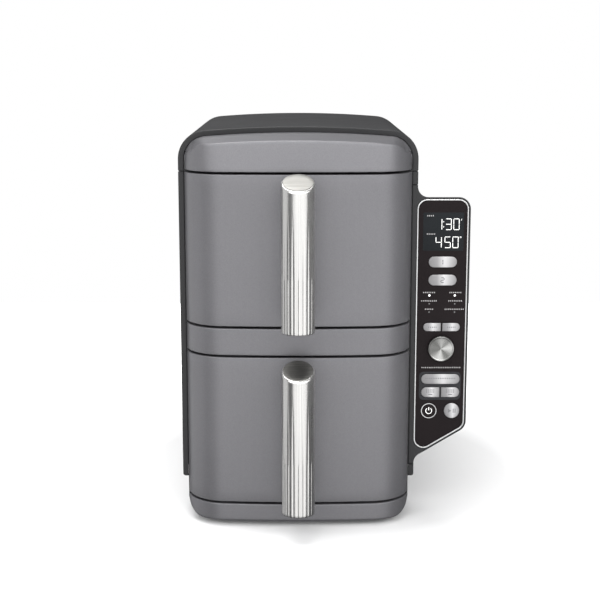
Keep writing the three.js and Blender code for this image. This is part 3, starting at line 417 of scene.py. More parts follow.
class Finish:
    """One material: a Principled shader and the steps that vary it over the surface."""

    def __init__(self, name, roughness, metallic=0.0, coat=0.0, coat_roughness=0.1):
        self.material = bpy.data.materials.new(name)
        self.material.use_nodes = True
        self.tree = self.material.node_tree
        self.shader = self.tree.nodes["Principled BSDF"]
        self.set(Roughness=roughness, Metallic=metallic)
        self.set(Coat_Weight=coat, Coat_Roughness=coat_roughness)

    def set(self, **values):
        """Sets the shader's own sockets."""
        fill(self.tree, self.shader, spaced(values))

    def group(self, group, **values):
        """Outputs of a shared node group."""
        return add(self.tree, "ShaderNodeGroup", spaced(values), node_tree=group).outputs

    def mix(self, mask, first, second):
        """Colour that goes from first to second as the mask goes from 0 to 1."""
        inputs = {"Factor": mask, 6: first, 7: second}
        return add(self.tree, "ShaderNodeMix", inputs, data_type="RGBA").outputs[2]

    def stretch(self, value, low, high, from_low=0.3, from_high=0.7):
        """Maps the useful middle of a noise onto a range."""
        inputs = {"Value": value, "From Min": from_low, "From Max": from_high}
        inputs.update({"To Min": low, "To Max": high})
        return add(self.tree, "ShaderNodeMapRange", inputs).outputs["Result"]

    def patchy(self, noise, first, second, reach=1.0):
        """Colours the surface from first towards second by the useful middle of a noise."""
        self.set(Base_Color=self.mix(self.stretch(noise, 0.0, reach), first, second))

    def uneven(self, noise, low, high):
        """Roughness that follows the useful middle of a noise."""
        self.set(Roughness=self.stretch(noise, low, high))

    def bump(self, height, strength, distance):
        inputs = {"Height": height, "Strength": strength, "Distance": distance * MM}
        self.set(Normal=add(self.tree, "ShaderNodeBump", inputs).outputs["Normal"])


# ---- The fryer's finishes -------------------------------------------------------------------


def grey_paint():
    """Satin grey with fine metal flakes under a thin clear coat."""
    finish = Finish("satin_grey_paint", 0.41, metallic=0.55, coat=0.1, coat_roughness=0.3)
    grain = finish.group(GRAIN, Grain_Scale=1400.0, Blotch_Scale=7.0)
    flakes = finish.group(FLAKES, Flake_Scale=2400.0)
    pale_edge = finish.group(PALE_EDGES, Reach=0.53)
    base = finish.mix(flakes["Flakes"], linear(98, 98, 101), linear(114, 113, 116))
    blotches = finish.stretch(grain["Blotches"], 0.0, 0.16)
    soft = finish.mix(blotches, base, linear(126, 125, 128))
    # Paler on outward edges, where the mask is high.
    finish.set(Base_Color=finish.mix(pale_edge["Mask"], soft, linear(166, 166, 169)))
    finish.uneven(grain["Blotches"], 0.39, 0.44)
    finish.bump(grain["Height"], 0.06, 0.05)
    return finish.material


def moulded_plastic(name, colour, lighter, roughness, specular=0.4, grain=0.22):
    """Plastic with a fine spark-eroded grain, a little paler on its outward edges."""
    finish = Finish(name, roughness)
    finish.set(Specular_IOR_Level=specular)
    texture = finish.group(GRAIN, Grain_Scale=1100.0, Blotch_Scale=11.0)
    pale_edge = finish.group(PALE_EDGES, Reach=0.54)
    base = finish.mix(finish.stretch(texture["Blotches"], 0.0, 0.5), colour, lighter)
    finish.set(Base_Color=finish.mix(pale_edge["Mask"], base, lighter))
    finish.uneven(texture["Blotches"], roughness - 0.05, roughness + 0.05)
    finish.bump(texture["Height"], grain, 0.08)
    return finish.material


def brushed_metal(name, dark, light, roughness, across, depth=0.12):
    """Metal with lines brushed in one direction."""
    finish = Finish(name, roughness, metallic=1.0)
    lines = finish.group(BRUSH, Across_X=across[0], Across_Y=across[1], Across_Z=across[2])
    grain = finish.group(GRAIN, Grain_Scale=600.0, Blotch_Scale=30.0)
    finish.patchy(lines["Lines"], dark, light)
    brushed = math_node(finish.tree, "MULTIPLY", lines["Fine Lines"], 0.8)
    smudged = math_node(finish.tree, "MULTIPLY", grain["Blotches"], 0.2)
    both = math_node(finish.tree, "ADD", brushed, smudged)
    finish.uneven(both, roughness - 0.06, roughness + 0.08)
    finish.bump(lines["Fine Lines"], depth, 0.03)
    return finish.material


def gloss_black(name, colour, roughness):
    """Smooth black glass or lacquer with faint wiping marks."""
    finish = Finish(name, roughness)
    finish.set(Specular_IOR_Level=0.06)
    grain = finish.group(GRAIN, Grain_Scale=60.0, Blotch_Scale=22.0)
    lighter = tuple(min(v * 1.25, 1.0) for v in colour[:3]) + (1.0,)
    finish.patchy(grain["Blotches"], colour, lighter)
    finish.uneven(grain["Blotches"], roughness * 0.8, roughness * 1.5)
    return finish.material


def lit_mark(name, colour, strength):
    """A lit segment or lamp, slightly uneven as a light guide is."""
    finish = Finish(name, 0.4)
    grain = finish.group(GRAIN, Grain_Scale=500.0, Blotch_Scale=160.0)
    mask = finish.stretch(grain["Blotches"], 0.0, 0.25)
    glow = finish.mix(mask, colour, linear(150, 150, 150))
    finish.set(Base_Color=glow, Emission_Color=glow, Emission_Strength=strength)
    return finish.material


def grey_ramp(tree, value, painted_light_stops, tint):
    """Maps a value in 0-1 onto near greys given as (position, shade in 0-255)."""
    ramp = add(tree, "ShaderNodeValToRGB", {"Fac": value})
    elements = ramp.color_ramp.elements
    for position, _ in painted_light_stops[1:-1]:
        elements.new(position)
    for element, (position, shade) in zip(elements, painted_light_stops):
        element.position = position
        element.color = linear(*(shade + shift for shift in tint))
    return ramp


def silver_button():
    """Satin silver lacquer with a painted highlight: brighter down its middle, as the light falls on a
    gently rolled cap.
    """
    finish = Finish("satin_silver_caps", 0.34, metallic=0.75)
    place = add(finish.tree, "ShaderNodeTexCoord").outputs["Generated"]
    parts = add(finish.tree, "ShaderNodeSeparateXYZ", {"Vector": place})
    # Painted highlight across each cap: darker at both ends, brightest just right of the middle.
    painted_light_stops = ((0.0, 122), (0.3, 142), (0.56, 204), (0.76, 172), (1.0, 128))
    ramp = grey_ramp(finish.tree, parts.outputs["X"], painted_light_stops, (0, -1, 0))
    lines = finish.group(BRUSH, Across_X=1400.0, Across_Y=1400.0, Across_Z=40.0)
    finish.patchy(lines["Lines"], ramp.outputs["Color"], linear(140, 140, 142), 0.18)
    finish.uneven(lines["Fine Lines"], 0.28, 0.4)
    finish.bump(lines["Fine Lines"], 0.05, 0.02)
    return finish.material


def spun_metal(centre):
    """A lathe-turned face: fine rings, and a painted reflection of bright and dark sectors round its
    middle.
    """
    finish = Finish("spun_dial_face", 0.26, metallic=1.0)
    tree = finish.tree
    place = add(tree, "ShaderNodeTexCoord").outputs["Object"]
    off = add(tree, "ShaderNodeVectorMath", {0: place, 1: centre}, operation="SUBTRACT")
    off = off.outputs["Vector"]
    parts = add(tree, "ShaderNodeSeparateXYZ", {"Vector": off})
    angle = math_node(tree, "ARCTAN2", parts.outputs["Z"], parts.outputs["X"])
    turn = math_node(tree, "ADD", math_node(tree, "MULTIPLY", angle, 1 / (2 * math.pi)), 0.5)
    # Painted reflection: the colour turns bright and dark round the middle, as turned metal reflects the
    # lights.
    sectors = (
        (0.0, 112), (0.09, 104), (0.2, 196), (0.27, 178), (0.31, 112), (0.4, 104), (0.5, 200),
        (0.57, 182), (0.63, 96), (0.72, 168), (0.78, 152), (0.86, 90), (0.94, 120), (1.0, 112),
    )
    ramp = grey_ramp(tree, turn, sectors, (0, 0, -2))
    ramp.color_ramp.interpolation = "B_SPLINE"
    length = add(tree, "ShaderNodeVectorMath", {0: off}, operation="LENGTH").outputs["Value"]
    rings = math_node(tree, "SINE", math_node(tree, "MULTIPLY", length, RING_TURNS))
    finish.set(Base_Color=ramp.outputs["Color"])
    finish.set(Roughness=finish.stretch(rings, 0.22, 0.34, -1.0, 1.0))
    finish.bump(rings, 0.04, 0.02)
    return finish.material


def rubber():
    finish = Finish("black_foot_rubber", 0.85)
    grain = finish.group(GRAIN, Grain_Scale=700.0, Blotch_Scale=60.0)
    finish.patchy(grain["Blotches"], linear(22, 22, 22), linear(38, 38, 38))
    finish.bump(grain["Height"], 0.4, 0.12)
    return finish.material


def nonstick():
    """Dark ceramic coating with fine pale speckle."""
    finish = Finish("speckled_nonstick", 0.38, metallic=0.1, coat=0.25, coat_roughness=0.2)
    flakes = finish.group(FLAKES, Flake_Scale=1500.0)
    grain = finish.group(GRAIN, Grain_Scale=1000.0, Blotch_Scale=18.0)
    speck = finish.stretch(flakes["Flakes"], 0.0, 1.0, 0.8, 0.92)
    finish.set(Base_Color=finish.mix(speck, linear(44, 44, 46), linear(104, 104, 106)))
    finish.uneven(grain["Blotches"], 0.32, 0.45)
    finish.bump(grain["Height"], 0.12, 0.06)
    return finish.material


def circuit_board():
    finish = Finish("green_solder_mask", 0.4, coat=0.3)
    grain = finish.group(GRAIN, Grain_Scale=260.0, Blotch_Scale=70.0)
    finish.patchy(grain["Height"], linear(20, 70, 42), linear(38, 104, 64))
    finish.bump(grain["Height"], 0.3, 0.1)
    return finish.material


PAINT = grey_paint()
HOUSING = moulded_plastic("charcoal_housing", linear(40, 40, 41), linear(47, 47, 48), 0.5, specular=0.22)
BLACK = moulded_plastic("black_moulding", linear(24, 24, 25), linear(38, 38, 40), 0.55)
CHROME = brushed_metal(
    "fluted_bar_metal", linear(202, 201, 199), linear(222, 221, 219), 0.26, (1300.0, 1300.0, 7.0), 0.05
)
CAP = brushed_metal(
    "brushed_cap_metal", linear(112, 111, 108), linear(140, 139, 135), 0.4, (30.0, 900.0, 900.0), 0.2
)
TRIM = brushed_metal(
    "satin_trim_line", linear(196, 196, 196), linear(224, 224, 224), 0.3, (700.0, 700.0, 12.0)
)
STEEL = brushed_metal(
    "bare_sheet", linear(150, 150, 148), linear(182, 182, 180), 0.42, (500.0, 14.0, 500.0)
)
HEATER = brushed_metal(
    "heat_darkened_rod", linear(96, 90, 84), linear(128, 122, 116), 0.5, (120.0, 120.0, 120.0)
)
GLASS_BLACK = gloss_black("black_panel_lacquer", linear(24, 20, 21), 0.3)
WINDOW = gloss_black("smoked_display_window", linear(26, 28, 30), 0.25)
PLATE = gloss_black("dark_grey_key_plate", linear(42, 42, 44), 0.3)
SILVER = silver_button()
DIGIT_LIGHT = lit_mark("lit_segments", linear(214, 214, 212), 0.55)
DOT_LIGHT = lit_mark("lit_dots", linear(255, 255, 255), 1.0)
DOT_DARK = lit_mark("unlit_dots", linear(84, 84, 84), 0.02)
# The print is no lamp: its faint glow is painted light.
GLOWING_PRINT = lit_mark("pale_print", linear(150, 148, 148), 0.05)
INK = moulded_plastic("dark_grey_ink", linear(92, 92, 95), linear(108, 108, 110), 0.5)
RUBBER = rubber()
NONSTICK = nonstick()
BOARD = circuit_board()

# ---- Grey front -------------------------------------------------------------------------------


def front_plan():
    """The bowed front from above: (x, y, nx, ny) from the left back edge to the right one."""
    centre_x = FRONT_HALF - FRONT_CORNER
    lean = math.asin(centre_x / (BOW_RADIUS - FRONT_CORNER))
    centre_y = BOW_RADIUS - (BOW_RADIUS - FRONT_CORNER) * math.cos(lean)
    down = -math.pi / 2
    last = math.asin((BAND_BACK - centre_y) / FRONT_CORNER)
    right = arc(centre_x, centre_y, FRONT_CORNER, down + lean, last, 26)
    bow = arc(0, BOW_RADIUS, BOW_RADIUS, down - lean, down + lean, 36)[1:-1]
    left = [(-x, y, -nx, ny) for x, y, nx, ny in reversed(right)]
    return left + bow + right


FRONT_PLAN = front_plan()


def body_top(x, inset):
    """Height of the crowned body outline at x, for an outline moved in by the inset."""
    if abs(x) <= CORNER_X:
        return CROWN_Z + math.sqrt((CROWN_RADIUS - inset) ** 2 - x * x)
    reach = (HOUSING_CORNER - inset) ** 2 - (abs(x) - CORNER_X) ** 2
    return CORNER_Z + math.sqrt(max(reach, 0))


def front_piece(name, body, low, high, low_round, high_round, back, lean=0.0):
    """A band of the front. low and high give the edge's height at x and a share of the way back."""
    bottom = low(0, 0)
    columns = []
    for x, y, nx, ny in FRONT_PLAN:
        def point(inset, z, share):
            lead = lean * max(z - bottom, 0)
            px = x - nx * inset
            face_y = y - ny * inset + lead
            return (px, min(face_y + (back - face_y) * share, back), z)

        z0 = low(x, 0)
        z1 = high(x, 0)
        column = []
        for share in (1.0, 0.5, 0.15, 0.03):
            column.append(point(low_round, low(x, share), share))
        for up, inset in rounding(low_round, 4):
            column.append(point(inset, z0 + up, 0))
        for i in range(1, 12):
            column.append(point(0, z0 + low_round + (z1 - high_round - z0 - low_round) * i / 12, 0))
        for down, inset in reversed(rounding(high_round, 5)):
            column.append(point(inset, z1 - down, 0))
        for share in (0.03, 0.1, 0.2, 0.4, 0.6, 0.8, 1.0):
            column.append(point(high_round, high(x, share), share))
        columns.append(column)
    points, faces = grid(columns)
    packed = name.removesuffix("_skin")
    made = piece(name, points, faces, body, PAINT, [packed], sharp=50)
    with opened(made.data) as bm:
        bmesh.ops.holes_fill(bm, edges=open_edges(bm), sides=0)
    made.data.set_sharp_from_angle(angle=math.radians(50))


def level(height):
    return lambda x, share: height


def base_edge(x, _share):
    """Underside of the base band, with its round corners."""
    bottom = span("base_band")[0].z
    over = max(abs(x) - (FRONT_HALF - BASE_CORNER), 0)
    return bottom + BASE_CORNER - math.sqrt(BASE_CORNER**2 - min(over, BASE_CORNER) ** 2)


def fascia_edge(x, share):
    """Top of the fascia: a chamfer that climbs from the face's top edge to the housing."""
    crease = max(body_top(x, RIM_WIDTH + FASCIA_CHAMFER), body_top(FRONT_HALF - 1.1, RIM_WIDTH))
    back = body_top(x, RIM_WIDTH)
    return crease + (max(back, crease) - crease) * share


def make_front():
    for level_name in ("upper", "lower"):
        low, high = span(f"{level_name}_drawer_front")
        front_piece(
            f"{level_name}_drawer_front_skin", f"{level_name}_drawer",
            level(low.z), level(high.z), SEAM_ROUND, SEAM_ROUND, high.y,
        )
    low, high = span("middle_band")
    edges = (level(low.z), level(high.z), SEAM_ROUND, SEAM_ROUND)
    front_piece("middle_band_skin", "housing", *edges, high.y)
    low, high = span("base_band")
    front_piece("base_band_skin", "housing", base_edge, level(high.z), 2.2, SEAM_ROUND, high.y)
    low, high = span("top_fascia")
    slope = FASCIA_LEAN / (high.z - FASCIA_CHAMFER - low.z)
    front_piece("top_fascia_skin", "housing", level(low.z), fascia_edge, SEAM_ROUND, 1.1, high.y, slope)


# ---- Dark housing -------------------------------------------------------------------------------


def over_top(low, side_steps=4):
    """Section of the housing from the right seam over the top to the left seam."""
    right = [(HALF, low + (CORNER_Z - low) * i / side_steps, 1, 0) for i in range(side_steps)]
    right += arc(CORNER_X, CORNER_Z, HOUSING_CORNER, 0, math.pi / 2 - TOP_LEAN, 16)
    crown = arc(0, CROWN_Z, CROWN_RADIUS, math.pi / 2 - TOP_LEAN, math.pi / 2 + TOP_LEAN, 30)[1:-1]
    left = [(-x, z, -nx, nz) for x, z, nx, nz in reversed(right)]
    return right + crown + left


def fall(y):
    """How far the top has dropped at a place towards the back."""
    if y <= REAR_FALL_START:
        return 0.0
    return REAR_FALL_RADIUS - math.sqrt(REAR_FALL_RADIUS**2 - (y - REAR_FALL_START) ** 2)


def housing_point(section_point, y, inset, seam, side_in=0.0, extra_drop=0.0):
    x, z, nx, nz = section_point
    x, z = x - nx * inset, z - nz * inset
    drop = fall(y) + extra_drop
    if z > seam:
        z -= (z - seam) * drop / (TOP - seam)
    return (x * (HALF - side_in) / HALF, y, z)


def rim_stations():
    """(y, inset) over the folded front rim and on to the side."""
    stations = [(RIM_FRONT + 2.4, RIM_WIDTH), (RIM_FRONT + 0.5, RIM_WIDTH)]
    stations += [(RIM_FRONT + d, RIM_WIDTH - i) for i, d in reversed(rounding(0.5, 3))][1:]
    stations += [(RIM_FRONT + d, i) for d, i in rounding(1.1, 6)]
    return stations


def folded(section, into=1.8, round_off=0.5):
    """Turns a section's two ends inwards so that its seams have thickness."""
    first, last = section[0], section[-1]
    start = [(first[0] - into, first[1], 1, 0), (first[0] - round_off, first[1], 1, 0)]
    end = [(last[0] + round_off, last[1], -1, 0), (last[0] + into, last[1], -1, 0)]
    lifted = (first[0], first[1] + round_off, first[2], first[3])
    lowered = (last[0], last[1] + round_off, last[2], last[3])
    return start + [lifted] + section[1:-1] + [lowered] + end


def make_top_cover():
    seam = cover_low.z
    end = cover_high.y
    section = folded(over_top(seam))
    stations = rim_stations() + [(y, 0.0) for y in (60, 120, 180, 240, 290)]
    stations += [(290 + (end - 0.4 - 290) * i / 10, 0.0) for i in range(1, 11)]
    stations += [(end, 0.4), (end, WALL)]
    rows = [[housing_point(p, y, inset, seam) for p in section] for y, inset in stations]
    points, faces = grid(rows)
    housing_piece("top_cover_skin", points, faces, ["top_cover"])


def make_rear_cover():
    start, end = rear_low.y, rear_high.y
    seam = cover_low.z
    section = over_top(side_low.z, 8)
    stations = [(start, WALL, 0, 0), (start, 0.4, 0, 0), (start + 0.4, 0, 0, 0)]
    for i in range(1, 17):
        a = math.pi / 2 * i / 16
        y = end - REAR_CORNER_RADIUS + REAR_CORNER_RADIUS * math.sin(a)
        if y <= start + 0.5:
            continue
        side = REAR_CORNER_RADIUS * (1 - math.cos(a))
        past = max(y - (end - REAR_EDGE_RADIUS), 0)
        drop = REAR_EDGE_RADIUS - math.sqrt(max(REAR_EDGE_RADIUS**2 - past**2, 0))
        stations.append((y, 0, side, drop))
    rows = []
    for y, inset, side, drop in stations:
        rows.append([housing_point(p, y, inset, seam, side, drop) for p in section])
    points, faces = grid(rows)
    faces.append(end_face(points, rows))
    cut_rear_openings(housing_piece("rear_cover_skin", points, faces, ["rear_cover"]))


def cut_out(obj, cutters, sharp):
    """Takes closed shapes out of a piece."""
    points, faces = merged(*cutters)
    tool = piece("cutters", points, faces, "housing", BLACK)
    cut = obj.modifiers.new("openings", "BOOLEAN")
    cut.object = tool
    cut.solver = "EXACT"
    finished(obj, sharp)
    bpy.data.objects.remove(tool)


def cut_rear_openings(cover):
    """Vent slots behind each fan, and the hole for the cord gland."""
    cutters = []
    for level_name in ("upper", "lower"):
        hub = middle(f"{level_name}_fan_shaft")
        foot, head = hub.z - VENT_HALF_HEIGHT, hub.z + VENT_HALF_HEIGHT
        for i in range(VENT_SLOTS):
            x = hub.x + (i - (VENT_SLOTS - 1) // 2) * VENT_PITCH
            outline = slab(x - VENT_HALF_WIDTH, x + VENT_HALF_WIDTH, foot, head, 1.6, 4)
            cutters.append(capped([ring_at(outline, BACK - 5), ring_at(outline, BACK + 3)]))
    gland = middle("cord_gland")
    circle = arc(gland.x, gland.z, GLAND_HOLE_RADIUS, 0, 2 * math.pi, 32)[:-1]
    cutters.append(capped([ring_at(circle, BACK - 5), ring_at(circle, BACK + 3)]))
    solid = cover.modifiers.new("wall", "SOLIDIFY")
    solid.thickness = WALL * MM
    solid.offset = -1
    cut_out(cover, cutters, 40)


def side_panel(name, side, notch):
    """One side's panel; the notch (low z, high z, back y) leaves room for the pod's casing."""
    low, high = side_low.z, side_high.z
    first, steps = low + 1.6, 24
    heights = [low, low + 0.6, first]
    heights += [first + (high - 0.5 - first) * i / steps for i in range(1, steps + 1)] + [high]
    insets = [1.5, 0.45, 0.0] + [0.0] * steps + [0.5]
    if notch:
        for z in notch[:2]:
            nearest = min(range(len(heights)), key=lambda i: abs(heights[i] - z))
            heights[nearest] = z
    end = side_high.y
    stations = rim_stations() + [(60, 0.0)] + ([(notch[2], 0.0)] if notch else [])
    stations += [(120 + (end - 0.4 - 120) * i / 8, 0.0) for i in range(9)] + [(end, 0.4), (end, WALL)]
    rows = []
    for y, inset in stations:
        row = [(side * (HALF - WALL - inset * 0.3), y, low)]
        row += [(side * (HALF - inset - extra), y, z) for z, extra in zip(heights, insets)]
        row += [(side * (HALF - WALL), y, high)]
        rows.append(row)
    points, faces = grid(rows)
    if notch:
        def inside(face):
            _, ys, zs = zip(*(points[i] for i in face))
            within = notch[0] - 0.1 < min(zs) and max(zs) < notch[1] + 0.1
            return within and max(ys) < notch[2] + 0.1

        faces = [face for face in faces if not inside(face)]
    housing_piece(f"{name}_skin", points, faces, [name])


# ---- Control pod ----------------------------------------------------------------------------------

PANEL = [
    (PANEL_LEFT, PANEL_BOTTOM_LEFT, PANEL_CORNER),
    (PANEL_RIGHT, PANEL_BOTTOM_RIGHT, PANEL_CORNER),
    (PANEL_RIGHT, PANEL_TOP, PANEL_CORNER),
    (PANEL_LEFT, PANEL_TOP, PANEL_CORNER),
]


def pod_outline():
    """The wing and the strip of housing rim beside it, as one outline."""
    corners = grown(PANEL, POD_BORDER)
    low_left, low_right, high_right = corners[:3]
    slope = (low_right[1] - low_left[1]) / (low_right[0] - low_left[0])
    neck = low_right[1] - slope * (low_right[0] - HALF)
    inner = HALF - RIM_WIDTH
    return rounded([
        (inner, pod_low.z, 0),
        (HALF, pod_low.z, 0),
        (HALF, neck, POD_NECK),
        low_right,
        high_right,
        (HALF, high_right[1], POD_NECK),
        (HALF, pod_high.z, 0),
        (inner, pod_high.z, 0),
    ], 14)


def pod_back(x):
    """Depth of the pod's back at x: deep beside the housing, shallow at its tip."""
    tip = pod_high.x
    share = min(max((x - HALF) / (tip - HALF), 0), 1)
    return RIM_FRONT + POD_STRIP_DEPTH + (POD_TIP_DEPTH - POD_STRIP_DEPTH) * share


def make_pod_strip():
    """The length of side wall and rim that the pod's wing grows from."""
    low, high = pod_low.z, pod_high.z
    end = RIM_FRONT + POD_STRIP_DEPTH
    stations = [(y + 0.25, inset) for y, inset in rim_stations()]
    stations += [(RIM_FRONT + 20, 0.0), (end - 0.4, 0.0), (end, 0.4), (end, WALL)]
    rows = []
    for y, inset in stations:
        x = HALF - inset
        inner = min(HALF - WALL, x)
        under = [(inner, y, low), (x - 0.3, y, low), (x, y, low + 0.3)]
        rows.append(under + [(x, y, high - 0.3), (x - 0.3, y, high), (inner, y, high)])
    points, faces = grid(rows)
    housing_piece("pod_strip", points, faces)


def make_pod():
    outline = pod_outline()
    mid = (PANEL_TOP + pod_low.z) / 2
    rows = []
    for depth, inset in rounding(0.9, 5):
        rows.append(ring_at(outline, RIM_FRONT + depth, inset))
    for share in (0.1, 0.3, 0.55, 0.8, 0.96, 1.0):
        row = []
        for x, z, nx, nz in outline:
            inset = 3.0 if share == 1.0 else 0.0
            px = max(x - nx * inset, HALF - RIM_WIDTH)
            y = RIM_FRONT + 0.9 + (pod_back(px) - RIM_FRONT - 0.9) * share
            taper = 1 - (1 - POD_BACK_SCALE) * (y - RIM_FRONT) / POD_STRIP_DEPTH
            row.append((px, y, mid + (z - nz * inset - mid) * taper))
        rows.append(row)
    points, faces = grid(rows, closed=True)
    faces.append(end_face(points, rows))
    cut_pocket(housing_piece("pod_shell_skin", points, faces, ["pod_shell"]))


def cut_pocket(shell):
    """Closes the pod's face round the pocket that the trim and the panel sit in."""
    pocket = rounded(grown(PANEL, TRIM_WIDTH / 2 + 0.3), 12)
    pocket_rows = [ring_at(pocket, RIM_FRONT, -0.25), ring_at(pocket, RIM_FRONT + 0.3)]
    pocket_rows.append(ring_at(pocket, RIM_FRONT + 4))
    with opened(shell.data) as bm:
        rim = open_edges(bm)
        loops = [[bm.verts.new(at(*p)) for p in row] for row in pocket_rows]
        for first, second in zip(loops, loops[1:]):
            for j in range(len(first)):
                k = (j + 1) % len(first)
                bm.faces.new((first[j], first[k], second[k], second[j]))
        front = loops[0]
        mouth = [bm.edges.get((a, b)) for a, b in zip(front, front[1:] + front[:1])]
        bmesh.ops.triangle_fill(bm, use_beauty=True, use_dissolve=False, edges=rim + mouth)
    shell.data.shade_smooth()
    shell.data.set_sharp_from_angle(angle=math.radians(40))


def make_trim():
    """The half-round silver line round the panel."""
    outline = rounded(PANEL, 14)
    half = [(0.7, 3.2), (0.7, 0.35), (0.5, 0.08), (0.2, 0.0)]
    profile = half + [(-across, depth) for across, depth in reversed(half)]
    front = trim_low.y
    rows = [ring_at(outline, front + depth, -across) for across, depth in profile]
    rows.append(rows[0])
    points, faces = grid(rows, closed=True)
    piece("panel_trim_skin", points, faces, "housing", TRIM, ["panel_trim"], sharp=50)


def make_panel():
    """The black panel: one plate with a slightly raised display window and key plate."""
    outline = rounded(grown(PANEL, -TRIM_WIDTH / 2 - 0.15), 12)
    front = span("panel_glass")[0].y
    rows = [ring_at(outline, front + 2), ring_at(outline, front + 0.2)]
    points, faces = capped(rows + [ring_at(outline, front, 0.2)])
    piece("panel_glass_skin", points, faces, "housing", GLASS_BLACK, ["panel_glass"])
    display_low, display_high = span("display_module")
    box = (display_low.x, display_high.x, display_low.z, display_high.z)
    flat_shape("display_window", *box, 1.2, front, PLATE_RAISE, "display_black", WINDOW)
    keys_top = span("two_level_button")[1].z + 2.2
    keys_bottom = span("match_drawers_button")[0].z - 2.8
    keys_left = span("two_level_button")[0].x - 2
    keys_right = span("two_level_button")[1].x + 1
    box = (keys_left, keys_right, keys_bottom, keys_top)
    plate = flat_shape("key_plate", *box, 4.5, front, PLATE_RAISE, "panel_black", PLATE)
    for name in ("two_level", "finish_together", "match_drawers"):
        hole = rounded(grown(button_corners(f"{name}_button"), 0.25), 12)
        cut_out(plate, [capped([ring_at(hole, front + 1), ring_at(hole, front - 1)])], 30)


def flat_shape(name, x0, x1, z0, z1, radius, front, height, slot, material):
    """A thin raised shape with softened edges on the panel's face."""
    outline = slab(x0, x1, z0, z1, radius, 8)
    rows = [ring_at(outline, front + 0.05), ring_at(outline, front - height * 0.6)]
    rows.append(ring_at(outline, front - height, 0.1))
    points, faces = capped(rows)
    return piece(name, points, faces, "housing", material)


def button_corners(node):
    """Corners of one button's outline; split pills have one square end."""
    low, high = span(node)
    round_end = (high.z - low.z) / 2 - 0.02
    left = 0.6 if node in ("time_button", "match_drawers_button") else round_end
    right = 0.6 if node in ("temperature_button", "finish_together_button") else round_end
    corners = [(low.x, low.z, left), (high.x, low.z, right), (high.x, high.z, right)]
    return corners + [(low.x, high.z, left)]


def make_buttons():
    bodies = {members[0]: name for name, members in frame["record"]["behaviour"]["bodies"].items()}
    for node, body in bodies.items():
        if not node.endswith("_button"):
            continue
        outline = rounded(button_corners(node), 12)
        low, high = span(node)
        rows = [ring_at(outline, high.y), ring_at(outline, low.y + BUTTON_EDGE)]
        for depth, inset in reversed(rounding(BUTTON_EDGE, 5)[:-1]):
            rows.append(ring_at(outline, low.y + depth, inset))
        points, faces = capped(rows)
        slot, material = "silver_button", SILVER
        if node == "power_button":
            slot, material = "panel_black", GLASS_BLACK
        piece(f"{node}_cap", points, faces, body, material, [node])


# ---- Marks on the panel -----------------------------------------------------------------------------

SEGMENTS = {
    "0": "abcdef", "1": "bc", "2": "abdeg", "3": "abcdg", "4": "bcfg", "5": "acdfg",
}


def bar(p0, p1, thick, y, raised):
    """A flat stroke between two points with pointed ends, facing the front."""
    a, b = Vector(p0), Vector(p1)
    along = (b - a).normalized()
    side = Vector((-along.y, along.x)) * thick / 2
    tip = along * thick / 2
    outline = [a, a + tip - side, b - tip - side, b, b - tip + side, a + tip + side]
    flat = [(p.x, p.y, 0, 0) for p in outline]
    return capped([ring_at(flat, y), ring_at(flat, y - raised)])


def digit(character, x, z, width, height, thick, y, raised=DISPLAY_RAISE):
    """One seven-segment digit centred on x, z."""
    w, h, gap = width / 2, height / 2, thick * 0.12
    ends = {
        "a": ((x - w, z + h), (x + w, z + h)),
        "b": ((x + w, z), (x + w, z + h)),
        "c": ((x + w, z - h), (x + w, z)),
        "d": ((x - w, z - h), (x + w, z - h)),
        "e": ((x - w, z - h), (x - w, z)),
        "f": ((x - w, z), (x - w, z + h)),
        "g": ((x - w, z), (x + w, z)),
    }
    strokes = []
    for name in SEGMENTS[character]:
        a, b = Vector(ends[name][0]), Vector(ends[name][1])
        along = (b - a).normalized() * gap
        strokes.append(bar(a + along, b - along, thick, y, raised))
    return merged(*strokes)


def disc(x, z, radius, y, raised, steps):
    outline = arc(x, z, radius, 0, 2 * math.pi, steps)[:-1]
    return capped([ring_at(outline, y), ring_at(outline, y - raised)])


def loop(x, z, radius, thick, y, raised, start=0.0, end=2 * math.pi, steps=40):
    """A flat ring or an open arc of one."""
    outer = arc(x, z, radius + thick / 2, start, end, steps)
    inner = arc(x, z, radius - thick / 2, start, end, steps)
    if end - start > 6.28:
        outer, inner = outer[:-1], inner[:-1]
        rows = [ring_at(inner, y), ring_at(inner, y - raised)]
        rows += [ring_at(outer, y - raised), ring_at(outer, y), rows[0]]
        return grid(rows, closed=True)
    return capped([ring_at(outer + inner[::-1], y), ring_at(outer + inner[::-1], y - raised)])


def make_display_marks():
    """A time above a temperature, with a colon, a minute stroke and a degree ring."""
    window = middle("display_module")
    y = span("panel_glass")[0].y - DISPLAY_RAISE
    row_one, row_two = window.z + 7.2, window.z - 10.2
    figures = (
        ("1", -4.2, row_one), ("3", 4.8, row_one), ("0", 12.3, row_one),
        ("4", -4.4, row_two), ("5", 4.2, row_two), ("0", 11.7, row_two),
    )
    lit = [digit(figure, window.x + across, z, 5.2, 10.4, 0.68, y) for figure, across, z in figures]
    lit += [disc(window.x, row_one + up, 0.5, y, DISPLAY_RAISE, 8) for up in (2.4, -2.4)]
    stroke = ((window.x + 17.3, row_one + 5.4), (window.x + 17.0, row_one + 3.6))
    lit.append(bar(*stroke, 0.5, y, DISPLAY_RAISE))
    lit.append(loop(window.x + 16.5, row_two + 4.9, 0.6, 0.4, y, DISPLAY_RAISE, steps=14))
    points, faces = merged(*lit)
    piece("display_digits", points, faces, "housing", DIGIT_LIGHT)


